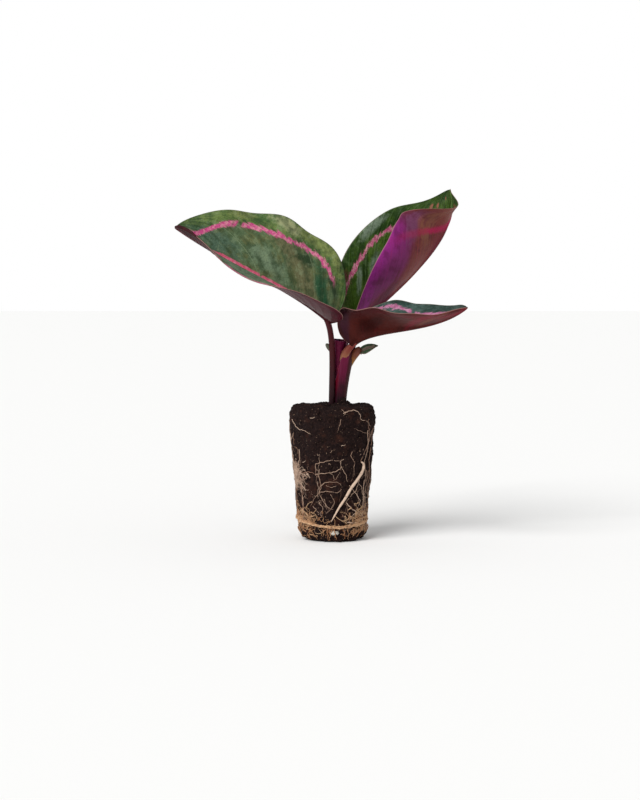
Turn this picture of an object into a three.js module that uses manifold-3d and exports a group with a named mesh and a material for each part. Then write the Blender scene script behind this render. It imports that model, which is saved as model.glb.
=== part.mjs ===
// A young calathea plug plant: three patterned leaves and two small ones on a short
// sheathed stem, growing from a bare tapered plug of soil wrapped in its own roots.
// Millimetres, +Z up. The origin is the centre of the flat foot of the plug, and the
// front of the plant faces -Y. Angles round the plug are counted from the front, in
// degrees, positive towards +X.

import * as THREE from 'three';
import { mergeVertices } from 'three/addons/utils/BufferGeometryUtils.js';
import Module from 'manifold-3d';

const wasm = await Module();
wasm.setup();
const { Manifold, Mesh: ManifoldMesh } = wasm;

// Driving dimensions

const CLEARANCE = 0.3;            // gap left between pieces that touch
const WELD_LENGTH = 1e-4;         // vertices closer than this are one
const MERGE_LENGTH = 0.03;        // shorter edges are taken out after joins and cuts

const BLADE_THICKNESS = 0.75;
const RIB_HALF_WIDTH = 0.9;       // midrib on the underside of a blade
const RIB_DEPTH_BASE = 1.1;
const RIB_DEPTH_TIP = 0.2;
const BLADE_SECTIONS = 20;        // steps along a blade
const BLADE_COLUMNS = 6;          // steps from midrib to margin
const SMALL_BLADE_SECTIONS = 8;
const BASE_CROWDING = 1.3;        // crowds the sections towards the base
const TIP_HALF_WIDTH = 0.5;       // blades end no narrower than this
const BASE_HALF_WIDTH = 1.0;

const PLUG_SIDES = 38;
const FOOT_RADIUS = 11;           // flat spot that the plug rests on
const PLUG_RIM_HEIGHT = 56;
// Outline of the plug as radius and height, from the foot up to the rim.
const PLUG_SIDE = [
  [FOOT_RADIUS, 0], [12.9, 1.6], [14.2, 4.4], [14.7, 8], [15.0, 12], [15.4, 17], [15.8, 22],
  [16.3, 27], [16.7, 32], [17.1, 37], [17.5, 42], [18.0, 47], [18.3, 51], [18.2, 54],
];
const PLUG_TOP = [[17.0, PLUG_RIM_HEIGHT], [13.5, 57], [9.5, 57.7], [5, 58.2]];
const PLUG_TOP_HEIGHT = 58.4;
const LUMP_HEIGHT = 0.45;         // relief of the soil

const CROWN_BOTTOM = 46.2;
const CROWN_TOP = 48.5;
const CROWN_RADIUS = 3.4;
const CROWN_CENTRE = [2.6, -2.3];
const INNER_ROOT_RADIUS = 0.7;
const INNER_ROOT_ANGLES = [-62, 40, 152, -140];
const ROOT_TUNNEL_EXIT = 40;      // height where inner roots reach the side of the plug

const NET_ROOT_RADIUS = 0.4;
const NET_ROOTS = 10;             // roots that run down the side of the plug
const NET_LOOPS = 3;              // and round it
const NET_TOP = 47;
const NET_BOTTOM = 12.5;
// Arched roots under the rim at the front, and the thick root below them, as stations of
// angle and height.
const NET_ARCS = [
  [[-77, 51.6], [-55, 49.5], [-29, 45.4], [-14, 38], [-9, 33]],
  [[13, 52.6], [29, 53], [40, 51.5], [57, 50.2], [66, 41], [67, 33]],
];
const THICK_ROOT_RADIUS = 0.75;
const THICK_ROOT = [[48, 33.5], [36, 28], [21, 20.6], [6, 12.5], [-3, 10.6]];

// Two brown rings of roots round the bottom of the plug, and the root ends below them.
const MAT_ROOT_RADIUS = 0.5;
const MAT_RINGS = [
  { start: 0, height: 8, swing: 0.9 },
  { start: 70, height: 6.3, swing: 0.7 },
];
const MAT_ENDS = 9;

// Bezier curves of the stems, each with its radius at the bottom and at the top. The last
// point of a petiole isn't given, as it is the seat of its blade.
const SHEATH = {
  points: [[3.6, -2.0, 49], [3.2, -2.0, 62], [4.2, -2.0, 74], [4.8, -2.2, 85]],
  radii: [2.4, 3.6],
};
const LEFT_PETIOLE = { points: [[-0.4, -3.2, 49], [-0.6, -3.2, 68], [1.2, -4.8, 87]], radii: [1.2, 1.1] };
const UPRIGHT_PETIOLE = { points: [[4.2, -1.0, 79], [4.7, 0.2, 82], [5.6, 3.0, 85.4]], radii: [1.3, 1.1] };
const RIGHT_PETIOLE = { points: [[5.0, -4.0, 73], [5.6, -5.6, 77], [6.6, -7.8, 80]], radii: [1.3, 1.2] };
const PETIOLE_SETBACK = 0.8;      // from the end of the rib back to the end of its petiole
const SMALL_STALK = {
  points: [[5.6, -1.2, 74.5], [7.6, -1.8, 75.6], [9.6, -3.6, 78.2], [11.2, -4.8, 80.4]],
  radii: [0.8, 0.7],
};
// Tip of a dead scale leaf on the left of the left petiole.
const PETIOLE_SCALE = {
  points: [[-1.0, -3.9, 80], [-1.5, -4.2, 82], [-2.0, -4.4, 83.4], [-2.9, -4.7, 84.6]],
  radii: [0.7, 0.35],
};

// Blades. A half blade is a circular arc across: it leaves the midrib at an angle above
// the level and then turns by its curl. Lists are [share of the length, degrees].
const LEFT_BLADE = {
  midrib: [[-0.5, -6, 93.5], [-18, -12, 108.5], [-40.5, -20, 116], [-65.5, -20, 133]],
  left: {
    width: 26, shape: [0.36, 0.72], wave: [0.6, 3, 0.1], scallop: [0.03, 2.5, 0.3], sweep: -0.08,
    angle: [[0, -12], [0.2, -14], [0.5, -13], [0.75, -14], [1, -5]],
    curl: [[0, 45], [0.2, 38], [0.45, 16], [0.7, 0], [0.85, 25], [1, 50]],
  },
  right: {
    width: 28, shape: [0.42, 0.6], wave: [1.5, 3.1, -0.28], scallop: [0.03, 3.1, -0.44], sweep: -0.08,
    angle: [[0, 75], [1, 75]],
    curl: [[0, 15], [1, 15]],
  },
};
const UPRIGHT_BLADE = {
  midrib: [[7.5, 5, 89], [25.5, 9, 106], [58, 16, 129], [51.5, 22, 151]],
  left: {
    width: 29.2, shape: [0.42, 0.66], wave: [0.5, 2, 0.1], scallop: [0, 1, 0], sweep: 0.06,
    angle: [[0, 100], [0.12, 95], [0.25, 89], [0.5, 83], [0.75, 81], [1, 92]],
    curl: [[0, 0], [1, 0]],
  },
  right: {
    width: 27.5, shape: [1.12, 1.33], wave: [0, 1, 0], scallop: [0, 1, 0], sweep: 0,
    angle: [[0, 47], [0.2, 37], [0.4, 19], [0.55, 37], [0.7, 56], [0.85, 11], [1, 12]],
    curl: [[0, 4], [0.2, 29], [0.4, 82], [0.55, 68], [0.7, 51], [0.85, 0], [1, 0]],
  },
};
const RIGHT_BLADE = {
  midrib: [[8, -9, 84], [15.5, -13, 92.5], [41.5, -22, 88.3], [55, -30, 100]],
  left: {
    width: 17, shape: [1.0, 0.8], wave: [1.0, 2.4, -0.35], scallop: [0, 1, 0], sweep: 0,
    angle: [[0, 88], [0.15, 75], [0.3, 54], [0.42, 49], [0.55, 30], [0.7, 22], [0.85, 26], [1, 34]],
    curl: [[0, 20], [1, 10]],
  },
  right: {
    width: 20.4, shape: [0.68, 0.85], wave: [0.8, 3.4, -0.14], scallop: [0, 1, 0], sweep: -0.42,
    angle: [[0, 67], [0.1, 65], [0.2, 55], [0.35, 37], [0.5, 31], [0.7, 11], [1, 7]],
    curl: [[0, 12], [0.1, 14], [0.2, 3], [0.35, -14], [0.5, -7], [0.7, 8], [1, 16]],
  },
};
const SMALL_BLADE = {
  midrib: [[11.2, -4.8, 80.4], [13.5, -5.6, 82.6], [16, -6.6, 82.6], [19, -8, 83.6]],
  left: {
    width: 2.4, shape: [0.5, 0.8], wave: [0, 1, 0], scallop: [0, 1, 0], sweep: 0,
    angle: [[0, 40], [1, 40]],
    curl: [[0, 0], [1, 0]],
  },
  right: {
    width: 2.8, shape: [0.5, 0.8], wave: [0, 1, 0], scallop: [0, 1, 0], sweep: 0,
    angle: [[0, -50], [1, -30]],
    curl: [[0, 0], [1, 0]],
  },
};

// Small maths helpers

const radians = THREE.MathUtils.degToRad;
const vector = (p) => new THREE.Vector3(p[0], p[1], p[2]);
const smooth = (q) => q * q * (3 - 2 * q);

function seededRandom(seed) {
  let state = seed;
  return () => {
    state = (state * 16807) % 2147483647;
    return state / 2147483647;
  };
}

function bezier(points, t) {
  const curve = new THREE.CubicBezierCurve3(...points.map(vector));
  return { point: curve.getPoint(t), tangent: curve.getTangent(t) };
}

// Smooth curve through [t, value] pairs, with slopes taken from the neighbours.
function keyed(pairs, t) {
  const last = pairs.length - 1;
  let i = 0;
  while (i < last - 1 && t >= pairs[i + 1][0]) i += 1;
  const slope = (k) => {
    const low = pairs[Math.max(k - 1, 0)];
    const high = pairs[Math.min(k + 1, last)];
    return (high[1] - low[1]) / (high[0] - low[0]);
  };
  const [t0, v0] = pairs[i];
  const [t1, v1] = pairs[i + 1];
  const step = t1 - t0;
  const f = Math.min(Math.max((t - t0) / step, 0), 1);
  return (1 + 2 * f) * (1 - f) ** 2 * v0 + f * (1 - f) ** 2 * step * slope(i)
    + f * f * (3 - 2 * f) * v1 + f * f * (f - 1) * step * slope(i + 1);
}

// Straight lines through [x, value] pairs.
function between(pairs, x) {
  let i = 0;
  while (i < pairs.length - 2 && x > pairs[i + 1][0]) i += 1;
  const [x0, v0] = pairs[i];
  const [x1, v1] = pairs[i + 1];
  return v0 + (v1 - v0) * Math.min(Math.max((x - x0) / (x1 - x0), 0), 1);
}

// Solids

function geometryFrom(positions, faces) {
  const geometry = new THREE.BufferGeometry();
  geometry.setAttribute('position', new THREE.Float32BufferAttribute(positions.flat(), 3));
  geometry.setIndex(faces.flat());
  return geometry;
}

function toManifold(geometry) {
  const bare = new THREE.BufferGeometry();
  bare.setAttribute('position', geometry.getAttribute('position'));
  bare.setIndex(geometry.getIndex());
  const merged = mergeVertices(bare, WELD_LENGTH);
  const mesh = new ManifoldMesh({
    numProp: 3,
    vertProperties: new Float32Array(merged.getAttribute('position').array),
    triVerts: new Uint32Array(merged.getIndex().array),
  });
  return new Manifold(mesh);
}

// Edges shorter than the merge length, which joins and cuts leave behind, are taken out.
function toGeometry(solid) {
  const mesh = solid.simplify(MERGE_LENGTH).getMesh();
  const geometry = new THREE.BufferGeometry();
  geometry.setAttribute('position', new THREE.BufferAttribute(mesh.vertProperties, 3));
  geometry.setIndex(new THREE.BufferAttribute(mesh.triVerts, 1));
  return geometry;
}

const union = (solids) => solids.slice(1).reduce((sum, solid) => sum.add(solid), solids[0]);

// Closed solid through rings of points, each ring having the same number of points and
// running anticlockwise when seen from the end of the stack.
function loft(rings) {
  const sides = rings[0].length;
  const positions = rings.flat();
  const faces = [];
  for (let i = 0; i < rings.length - 1; i += 1) {
    for (let j = 0; j < sides; j += 1) {
      const a = i * sides + j;
      const b = i * sides + ((j + 1) % sides);
      faces.push([a, b, b + sides], [a, b + sides, a + sides]);
    }
  }
  const centreOf = (ring) => ring.reduce((sum, p) => p.map((v, k) => v + sum[k]), [0, 0, 0])
    .map((v) => v / sides);
  const start = positions.push(centreOf(rings[0])) - 1;
  const end = positions.push(centreOf(rings[rings.length - 1])) - 1;
  const top = (rings.length - 1) * sides;
  for (let j = 0; j < sides; j += 1) {
    const next = (j + 1) % sides;
    faces.push([start, next, j], [end, top + j, top + next]);
  }
  return geometryFrom(positions, faces);
}

// Round bar of one radius along a curve.
function rod(curve, radius, sides, steps) {
  const outline = Array.from({ length: sides }, (_, j) => {
    const angle = (2 * Math.PI * j) / sides;
    return new THREE.Vector2(radius * Math.cos(angle), radius * Math.sin(angle));
  });
  const options = { steps, bevelEnabled: false, extrudePath: curve };
  return toManifold(new THREE.ExtrudeGeometry(new THREE.Shape(outline), options));
}

// Tapered bar along a Bezier curve. With grow, it is larger by that much all round and at
// both ends, for the hole that the bar stands in.
function stalk({ points, radii }, sides, steps, grow = 0) {
  const curve = new THREE.CubicBezierCurve3(...points.map(vector));
  const { normals, binormals } = curve.computeFrenetFrames(steps);
  const rings = normals.map((normal, i) => {
    const share = i / steps;
    const radius = radii[0] + (radii[1] - radii[0]) * share + grow;
    const push = i === 0 ? -grow : grow * (i === steps);
    const centre = curve.getPointAt(share).addScaledVector(curve.getTangentAt(share), push);
    return Array.from({ length: sides }, (_, j) => {
      const angle = (2 * Math.PI * j) / sides;
      const point = centre.clone().addScaledVector(normal, radius * Math.cos(angle));
      return point.addScaledVector(binormals[i], radius * Math.sin(angle)).toArray();
    });
  });
  return toManifold(loft(rings));
}

// Blades

function bladeAxes(blade, t) {
  const { point, tangent } = bezier(blade.midrib, t);
  const chord = vector(blade.midrib[3]).sub(vector(blade.midrib[0]));
  const side = new THREE.Vector3(-chord.y, chord.x, 0).normalize();
  side.addScaledVector(tangent, -side.dot(tangent)).normalize();
  return { point, tangent, side, up: tangent.clone().cross(side) };
}

function halfWidth(half, t) {
  const [a, b] = half.shape;
  const peak = (a / (a + b)) ** a * (b / (a + b)) ** b;
  const [depth, count, phase] = half.scallop;
  const outline = (t ** a * (1 - t) ** b) / peak;
  return half.width * outline * (1 + depth * Math.sin(2 * Math.PI * (count * t + phase)));
}

// Point and normal of the upper face of one half of a blade. The sign is 1 for the half on
// the left when looking from base to tip, and -1 for the one on the right.
function halfPoint(blade, half, sign, t, u) {
  const axes = bladeAxes(blade, t);
  const narrowest = BASE_HALF_WIDTH + (TIP_HALF_WIDTH - BASE_HALF_WIDTH) * t;
  const width = Math.max(halfWidth(half, t), narrowest);
  const start = radians(keyed(half.angle, t));
  const turn = radians(keyed(half.curl, t)) || 1e-4;
  const across = (Math.sin(start + turn * u) - Math.sin(start)) / turn;
  const rise = (Math.cos(start) - Math.cos(start + turn * u)) / turn;
  const lean = start + turn * u;
  const normal = axes.up.clone().multiplyScalar(Math.cos(lean))
    .addScaledVector(axes.side, -sign * Math.sin(lean));
  const [height, count, phase] = half.wave;
  const wave = height * u * u * Math.sin(2 * Math.PI * (count * t + phase))
    * Math.sqrt(Math.max(Math.sin(Math.PI * t), 0));
  const point = axes.point.clone()
    .addScaledVector(axes.side, sign * width * across)
    .addScaledVector(axes.up, width * rise)
    .addScaledVector(normal, wave)
    .addScaledVector(axes.tangent, half.sweep * width * u * (1 - t) ** 2);
  return { point, normal, width };
}

// One section of a blade from its left margin to its right margin, on both faces.
function bladeSection(blade, t) {
  const upper = [];
  const lower = [];
  const rib = RIB_DEPTH_BASE + (RIB_DEPTH_TIP - RIB_DEPTH_BASE) * t;
  for (let j = -BLADE_COLUMNS; j <= BLADE_COLUMNS; j += 1) {
    const sign = j <= 0 ? 1 : -1;
    const half = sign > 0 ? blade.left : blade.right;
    const { width } = halfPoint(blade, half, sign, t, 1);
    const ribShare = Math.min(RIB_HALF_WIDTH / width, 1 / BLADE_COLUMNS);
    const step = Math.abs(j);
    const u = step === 0 ? 0 : ribShare + ((1 - ribShare) * (step - 1)) / (BLADE_COLUMNS - 1);
    const { point, normal } = halfPoint(blade, half, sign, t, u);
    let depth = BLADE_THICKNESS;
    if (j === 0) {
      normal.add(halfPoint(blade, blade.right, -1, t, 0).normal).normalize();
      depth += rib;
    }
    upper.push(point.toArray());
    lower.push(point.clone().addScaledVector(normal, -depth).toArray());
  }
  return [...upper, ...lower.reverse()];
}

function bladeSolid(blade, sections = BLADE_SECTIONS) {
  const rings = [];
  for (let i = 0; i <= sections; i += 1) {
    rings.push(bladeSection(blade, smooth(i / sections) ** BASE_CROWDING));
  }
  return bladeShell(rings);
}

// Closes the sections of a blade. Both faces are split along the same diagonals.
function bladeShell(rings) {
  const count = rings[0].length;
  const row = count / 2;
  const positions = rings.flat();
  const faces = [];
  for (let i = 0; i < rings.length - 1; i += 1) {
    const a = i * count;
    const b = a + count;
    const mirror = (j) => count - 1 - j;
    for (let j = 0; j < row - 1; j += 1) {
      faces.push([a + j, a + j + 1, b + j + 1], [a + j, b + j + 1, b + j]);
      const [p, q] = [mirror(j), mirror(j + 1)];
      faces.push([a + p, b + q, a + q], [a + p, b + p, b + q]);
    }
    const last = row - 1;
    faces.push([a + last, a + mirror(last), b + mirror(last)], [a + last, b + mirror(last), b + last]);
    faces.push([a + mirror(0), a, b], [a + mirror(0), b, b + mirror(0)]);
  }
  const end = (rings.length - 1) * count;
  for (let j = 0; j < row - 1; j += 1) {
    const [p, q] = [count - 1 - j, count - 2 - j];
    faces.push([j, q, j + 1], [j, p, q]);
    faces.push([end + j, end + j + 1, end + q], [end + j, end + q, end + p]);
  }
  return geometryFrom(positions, faces);
}

// Soil

function lumps(angle, height) {
  const a = radians(angle);
  return LUMP_HEIGHT * (
    0.45 * Math.sin(5 * a + 0.21 * height)
    + 0.35 * Math.sin(9 * a - 0.33 * height + 1.1)
    + 0.30 * Math.sin(3 * a + 0.52 * height + 2.3)
  );
}

function plugPoint(angle, radius, height) {
  const a = radians(angle);
  return [radius * Math.sin(a), -radius * Math.cos(a), height];
}

function plugRadius(angle, height) {
  const heightThenRadius = PLUG_SIDE.map(([r, z]) => [z, r]);
  return between(heightThenRadius, height) + lumps(angle, height);
}

function soilBody() {
  const rings = [];
  const ring = (radius, height, relief) => Array.from({ length: PLUG_SIDES }, (_, j) => {
    const angle = (360 * j) / PLUG_SIDES;
    const lump = relief * lumps(angle, height);
    const rise = height > PLUG_RIM_HEIGHT - 1 ? lump : 0;
    return plugPoint(angle, radius + lump, height + rise);
  });
  rings.push(ring(5, 0, 0));
  PLUG_SIDE.forEach(([radius, height]) => rings.push(ring(radius, height, height > 0 ? 1 : 0)));
  PLUG_TOP.forEach(([radius, height]) => rings.push(ring(radius, height, 1)));
  rings.push(ring(1.5, PLUG_TOP_HEIGHT, 0.5));
  return toManifold(loft(rings));
}

// Roots

// Root on the side of the plug through [angle, height] stations, clear of the soil.
function surfaceRoot(stations, radius, sides, steps) {
  const flat = stations.map(([angle, height]) => new THREE.Vector3(angle, height, 0));
  const route = new THREE.CatmullRomCurve3(flat);
  const points = route.getPoints(steps).map(({ x: angle, y: height }) => {
    const out = plugRadius(angle, height) + CLEARANCE + radius;
    return vector(plugPoint(angle, out, height));
  });
  return rod(new THREE.CatmullRomCurve3(points), radius, sides, steps);
}

function innerRoot(angle, grow) {
  const out = plugRadius(angle, ROOT_TUNNEL_EXIT) + CLEARANCE + NET_ROOT_RADIUS;
  const start = new THREE.Vector3(...CROWN_CENTRE, CROWN_BOTTOM + INNER_ROOT_RADIUS);
  const end = vector(plugPoint(angle, out, ROOT_TUNNEL_EXIT));
  const middle = start.clone().lerp(end, 0.5).add(new THREE.Vector3(0, 0, 1.5));
  return rod(new THREE.QuadraticBezierCurve3(start, middle, end), INNER_ROOT_RADIUS + grow, 5, 6);
}

function netRoots() {
  const random = seededRandom(72);
  const solids = [];
  const lay = (stations, steps) => solids.push(surfaceRoot(stations, NET_ROOT_RADIUS, 3, steps));
  for (let i = 0; i < NET_ROOTS; i += 1) {
    const start = (360 * i) / NET_ROOTS + 12 * (random() - 0.5);
    const stations = [];
    const top = NET_TOP - 5 * random();
    for (let k = 0; k <= 4; k += 1) {
      const wander = 16 * (random() - 0.5);
      stations.push([start + wander, top + (NET_BOTTOM - top) * (k / 4)]);
    }
    lay(stations, 10);
  }
  for (let i = 0; i < NET_LOOPS; i += 1) {
    const stations = [];
    const level = NET_BOTTOM + 5 + 10.5 * i;
    for (let k = 0; k <= 12; k += 1) stations.push([i * 50 + 33 * k, level + 2.4 * Math.sin(1.7 * k + i)]);
    lay(stations, 26);
  }
  NET_ARCS.forEach((stations) => lay(stations, 9));
  solids.push(surfaceRoot(THICK_ROOT, THICK_ROOT_RADIUS, 6, 8));
  return solids;
}

// Short round crown under the stem, which the inner roots leave from.
function crown(grow) {
  const height = CROWN_TOP - CROWN_BOTTOM + 2 * grow;
  const geometry = new THREE.CylinderGeometry(CROWN_RADIUS + grow, CROWN_RADIUS - 0.4 + grow, height, 10);
  geometry.rotateX(Math.PI / 2);
  geometry.translate(...CROWN_CENTRE, (CROWN_TOP + CROWN_BOTTOM) / 2);
  return toManifold(geometry);
}

function rootsSolid() {
  const inner = INNER_ROOT_ANGLES.map((angle) => innerRoot(angle, 0));
  return union([crown(0), ...inner, ...netRoots()]);
}

function rootMat() {
  const solids = [];
  const lay = (stations, steps) => solids.push(surfaceRoot(stations, MAT_ROOT_RADIUS, 3, steps));
  for (const { start, height, swing } of MAT_RINGS) {
    const stations = [];
    for (let k = 0; k <= 12; k += 1) {
      stations.push([start + 31 * k, height + swing * Math.sin(2.1 * k + start)]);
    }
    lay(stations, 30);
  }
  for (let i = 0; i < MAT_ENDS; i += 1) {
    const angle = 26 + 39 * i + 6 * Math.sin(5 * i);
    lay([[angle, 8.6], [angle + 5, 5.2], [angle + 2, 2.2]], 3);
  }
  return union(solids);
}

// Beads of perlite in the foot of the plug: centre and the three half sizes.
const WHITE_BEAD = { centre: plugPoint(2.6, 12.9, 2.9), size: [2.1, 1.4, 0.85] };
const GREY_BEAD = { centre: plugPoint(17, 11.6, 1.5), size: [1.7, 1.1, 0.8] };

function beadSolid({ centre, size }, grow) {
  const geometry = new THREE.IcosahedronGeometry(1, 2);
  geometry.scale(size[0] + grow, size[1] + grow, size[2] + grow);
  geometry.translate(...centre);
  return toManifold(geometry);
}

// Stem

// Point behind the middle of the rib at the base of a blade.
function bladeSeat(blade) {
  const { point, tangent, up } = bladeAxes(blade, 0);
  const middle = (BLADE_THICKNESS + RIB_DEPTH_BASE) / 2;
  return point.addScaledVector(tangent, -PETIOLE_SETBACK).addScaledVector(up, -middle).toArray();
}

function petiole({ points, radii }, blade, steps, grow) {
  return stalk({ points: [...points, bladeSeat(blade)], radii }, 10, steps, grow);
}

const leftPetiole = (grow) => petiole(LEFT_PETIOLE, LEFT_BLADE, 12, grow);
const uprightPetiole = (grow) => petiole(UPRIGHT_PETIOLE, UPRIGHT_BLADE, 6, grow);
const rightPetiole = (grow) => petiole(RIGHT_PETIOLE, RIGHT_BLADE, 8, grow);
const smallStalk = (grow) => stalk(SMALL_STALK, 8, 6, grow);
const petioleScale = () => stalk(PETIOLE_SCALE, 6, 4);
const sheathBody = (grow) => stalk(SHEATH, 16, 10, grow);

function sheathSolid() {
  return sheathBody(0)
    .subtract(uprightPetiole(CLEARANCE))
    .subtract(rightPetiole(CLEARANCE))
    .subtract(smallStalk(CLEARANCE));
}

function smallLeaf() {
  return union([smallStalk(0), toManifold(bladeSolid(SMALL_BLADE, SMALL_BLADE_SECTIONS))]);
}

function soilSolid() {
  let soil = soilBody()
    .subtract(sheathBody(CLEARANCE))
    .subtract(leftPetiole(CLEARANCE))
    .subtract(crown(CLEARANCE))
    .subtract(beadSolid(WHITE_BEAD, CLEARANCE))
    .subtract(beadSolid(GREY_BEAD, CLEARANCE));
  for (const angle of INNER_ROOT_ANGLES) soil = soil.subtract(innerRoot(angle, CLEARANCE + 0.1));
  return soil;
}

// Materials

const matte = (color, roughness) => new THREE.MeshStandardMaterial({ color, roughness, metalness: 0 });
const materials = {
  soil: matte(0x3a2620, 0.95),
  root: matte(0xcdbd9a, 0.7),
  mat: matte(0x8a6a44, 0.8),
  bead: matte(0xe6e2d8, 0.8),
  leaf: matte(0x41663c, 0.45),
  dark: matte(0x35502c, 0.45),
  stem: matte(0x5c1e38, 0.5),
};

function node(name, geometry, material) {
  const mesh = new THREE.Mesh(geometry, material);
  mesh.name = name;
  return mesh;
}

const part = new THREE.Group();
part.name = 'calathea_plug_plant';
part.add(
  node('soil_plug', toGeometry(soilSolid()), materials.soil),
  node('root_net', toGeometry(rootsSolid()), materials.root),
  node('root_mat', toGeometry(rootMat()), materials.mat),
  node('white_bead', toGeometry(beadSolid(WHITE_BEAD, 0)), materials.bead),
  node('grey_bead', toGeometry(beadSolid(GREY_BEAD, 0)), materials.bead),
  node('sheath', toGeometry(sheathSolid()), materials.stem),
  node('left_petiole', toGeometry(union([leftPetiole(0), petioleScale()])), materials.stem),
  node('upright_petiole', toGeometry(uprightPetiole(0)), materials.stem),
  node('right_petiole', toGeometry(rightPetiole(0)), materials.stem),
  node('left_leaf', bladeSolid(LEFT_BLADE), materials.leaf),
  node('upright_leaf', bladeSolid(UPRIGHT_BLADE), materials.dark),
  node('right_leaf', bladeSolid(RIGHT_BLADE), materials.dark),
  node('small_leaf', toGeometry(smallLeaf()), materials.leaf),
);

export default part;
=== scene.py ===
# A young calathea plug plant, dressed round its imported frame: patterned leaves, sheathed
# stems, crumbly soil and the roots that hold it. Dimensions are in millimetres and are
# turned into metres when a mesh is made. The front of the plant faces -Y, and angles
# round the plug are counted from the front, in degrees, positive towards +X.

import math
import random

import bmesh
import bpy
import numpy as np
from mathutils import Matrix, Vector, noise


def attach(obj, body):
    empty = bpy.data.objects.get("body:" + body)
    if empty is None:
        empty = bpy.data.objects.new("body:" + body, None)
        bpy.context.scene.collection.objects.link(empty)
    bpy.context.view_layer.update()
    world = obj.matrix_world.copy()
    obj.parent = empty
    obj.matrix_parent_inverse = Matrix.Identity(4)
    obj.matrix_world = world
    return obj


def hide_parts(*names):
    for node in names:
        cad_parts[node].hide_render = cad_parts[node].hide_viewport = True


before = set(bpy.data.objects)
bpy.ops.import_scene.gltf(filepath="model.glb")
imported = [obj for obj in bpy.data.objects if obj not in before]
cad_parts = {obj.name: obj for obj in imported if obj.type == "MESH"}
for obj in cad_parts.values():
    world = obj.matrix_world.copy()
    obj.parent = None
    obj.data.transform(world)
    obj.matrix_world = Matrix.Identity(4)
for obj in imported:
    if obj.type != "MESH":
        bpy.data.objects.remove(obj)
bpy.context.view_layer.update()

MM = 0.001

# Camera and stage

PIXEL = 0.43                     # size of a pixel of the photograph at the plant
IMAGE_HEIGHT = 800               # pixels
CAMERA_DISTANCE = 715
CAMERA_ELEVATION = 4             # degrees above the horizon
CAMERA_TARGET = (-5.375, 0, 59.77)
SENSOR = 36
SKY_LIGHT = 0.5
SUN_LIGHT = 2.6
SUN_SIZE = 35                    # degrees across, for soft shadows
SUN_DIRECTION = (0.5, 0.62, -0.75)
FLOOR_REACH = 6                  # metres from the middle of the floor to its edge
FLOOR_TONE = (0.93, 0.93, 0.92, 1)
SURFACE_SHARE = 0.8              # brightness of a surface's own colour against its look

# Blades, as in the source of the part, but for a fuller left half of the small one. A half
# blade is a circular arc across: it leaves the midrib at an angle above the level and then
# turns by its curl. Both are (share of the length, degrees). Ring gives the pink ring as
# (share of the length, share of the half width). Wave and scallop are the depth, count and
# phase of the waves up and down and in and out along the margin, where it has any. Sweep
# moves the base of the half along the midrib, and back where it is negative.

STRAIGHT = (0, 1, 0)

LEFT_BLADE = {
    "midrib": [(-0.5, -6, 93.5), (-18, -12, 108.5), (-40.5, -20, 116), (-65.5, -20, 133)],
    "relief": 0.42,
    "left": {
        "width": 26, "shape": (0.36, 0.72), "wave": (0.6, 3, 0.1),
        "scallop": (0.03, 2.5, 0.3), "sweep": -0.08,
        "angle": [(0, -12), (0.2, -14), (0.5, -13), (0.75, -14), (1, -5)],
        "curl": [(0, 45), (0.2, 38), (0.45, 16), (0.7, 0), (0.85, 25), (1, 50)],
        "ring": [(0.1, 0.7), (0.3, 0.86), (0.5, 0.95), (0.72, 0.93), (0.86, 0.6), (0.93, 0)],
    },
    "right": {
        "width": 28, "shape": (0.42, 0.6), "wave": (1.5, 3.1, -0.28),
        "scallop": (0.03, 3.1, -0.44), "sweep": -0.08,
        "angle": [(0, 75), (1, 75)],
        "curl": [(0, 15), (1, 15)],
        "ring": [(0.1, 0.66), (0.35, 0.76), (0.52, 0.69), (0.72, 0.73), (0.82, 0.6), (0.92, 0.1)],
    },
}
UPRIGHT_BLADE = {
    "midrib": [(7.5, 5, 89), (25.5, 9, 106), (58, 16, 129), (51.5, 22, 151)],
    "relief": 0.1,
    "left": {
        "width": 29.2, "shape": (0.42, 0.66), "wave": (0.5, 2, 0.1),
        "sweep": 0.06,
        "angle": [(0, 100), (0.12, 95), (0.25, 89), (0.5, 83), (0.75, 81), (1, 92)],
        "curl": [(0, 0), (1, 0)],
        "ring": [(0.08, 0.7), (0.27, 0.73), (0.41, 0.77), (0.51, 0.72), (0.8, 0.55), (0.95, 0.2)],
    },
    "right": {
        "width": 27.5, "shape": (1.12, 1.33),
        "angle": [(0, 47), (0.2, 37), (0.4, 19), (0.55, 37), (0.7, 56), (0.85, 11), (1, 12)],
        "curl": [(0, 4), (0.2, 29), (0.4, 82), (0.55, 68), (0.7, 51), (0.85, 0), (1, 0)],
        "ring": [(0.2, 0.98), (0.4, 0.94), (0.49, 0.81), (0.57, 0.62), (0.65, 0.39), (0.72, 0.15),
                 (0.78, 0)],
    },
}
RIGHT_BLADE = {
    "midrib": [(8, -9, 84), (15.5, -13, 92.5), (41.5, -22, 88.3), (55, -30, 100)],
    "relief": 0.14,
    "left": {
        "width": 17, "shape": (1.0, 0.8), "wave": (1.0, 2.4, -0.35),
        "angle": [(0, 88), (0.15, 75), (0.3, 54), (0.42, 49), (0.55, 30), (0.7, 22), (0.85, 26),
                  (1, 34)],
        "curl": [(0, 20), (1, 10)],
        "ring": [(0.1, 0.66), (0.3, 0.84), (0.46, 0.76), (0.6, 0.58), (0.78, 0.5), (0.94, 0.2)],
    },
    "right": {
        "width": 20.4, "shape": (0.68, 0.85), "wave": (0.8, 3.4, -0.14),
        "sweep": -0.42,
        "angle": [(0, 67), (0.1, 65), (0.2, 55), (0.35, 37), (0.5, 31), (0.7, 11), (1, 7)],
        "curl": [(0, 12), (0.1, 14), (0.2, 3), (0.35, -14), (0.5, -7), (0.7, 8), (1, 16)],
        "ring": [(0.1, 0.66), (0.3, 0.84), (0.6, 0.8), (0.8, 0.6), (0.94, 0.2)],
    },
}
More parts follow.
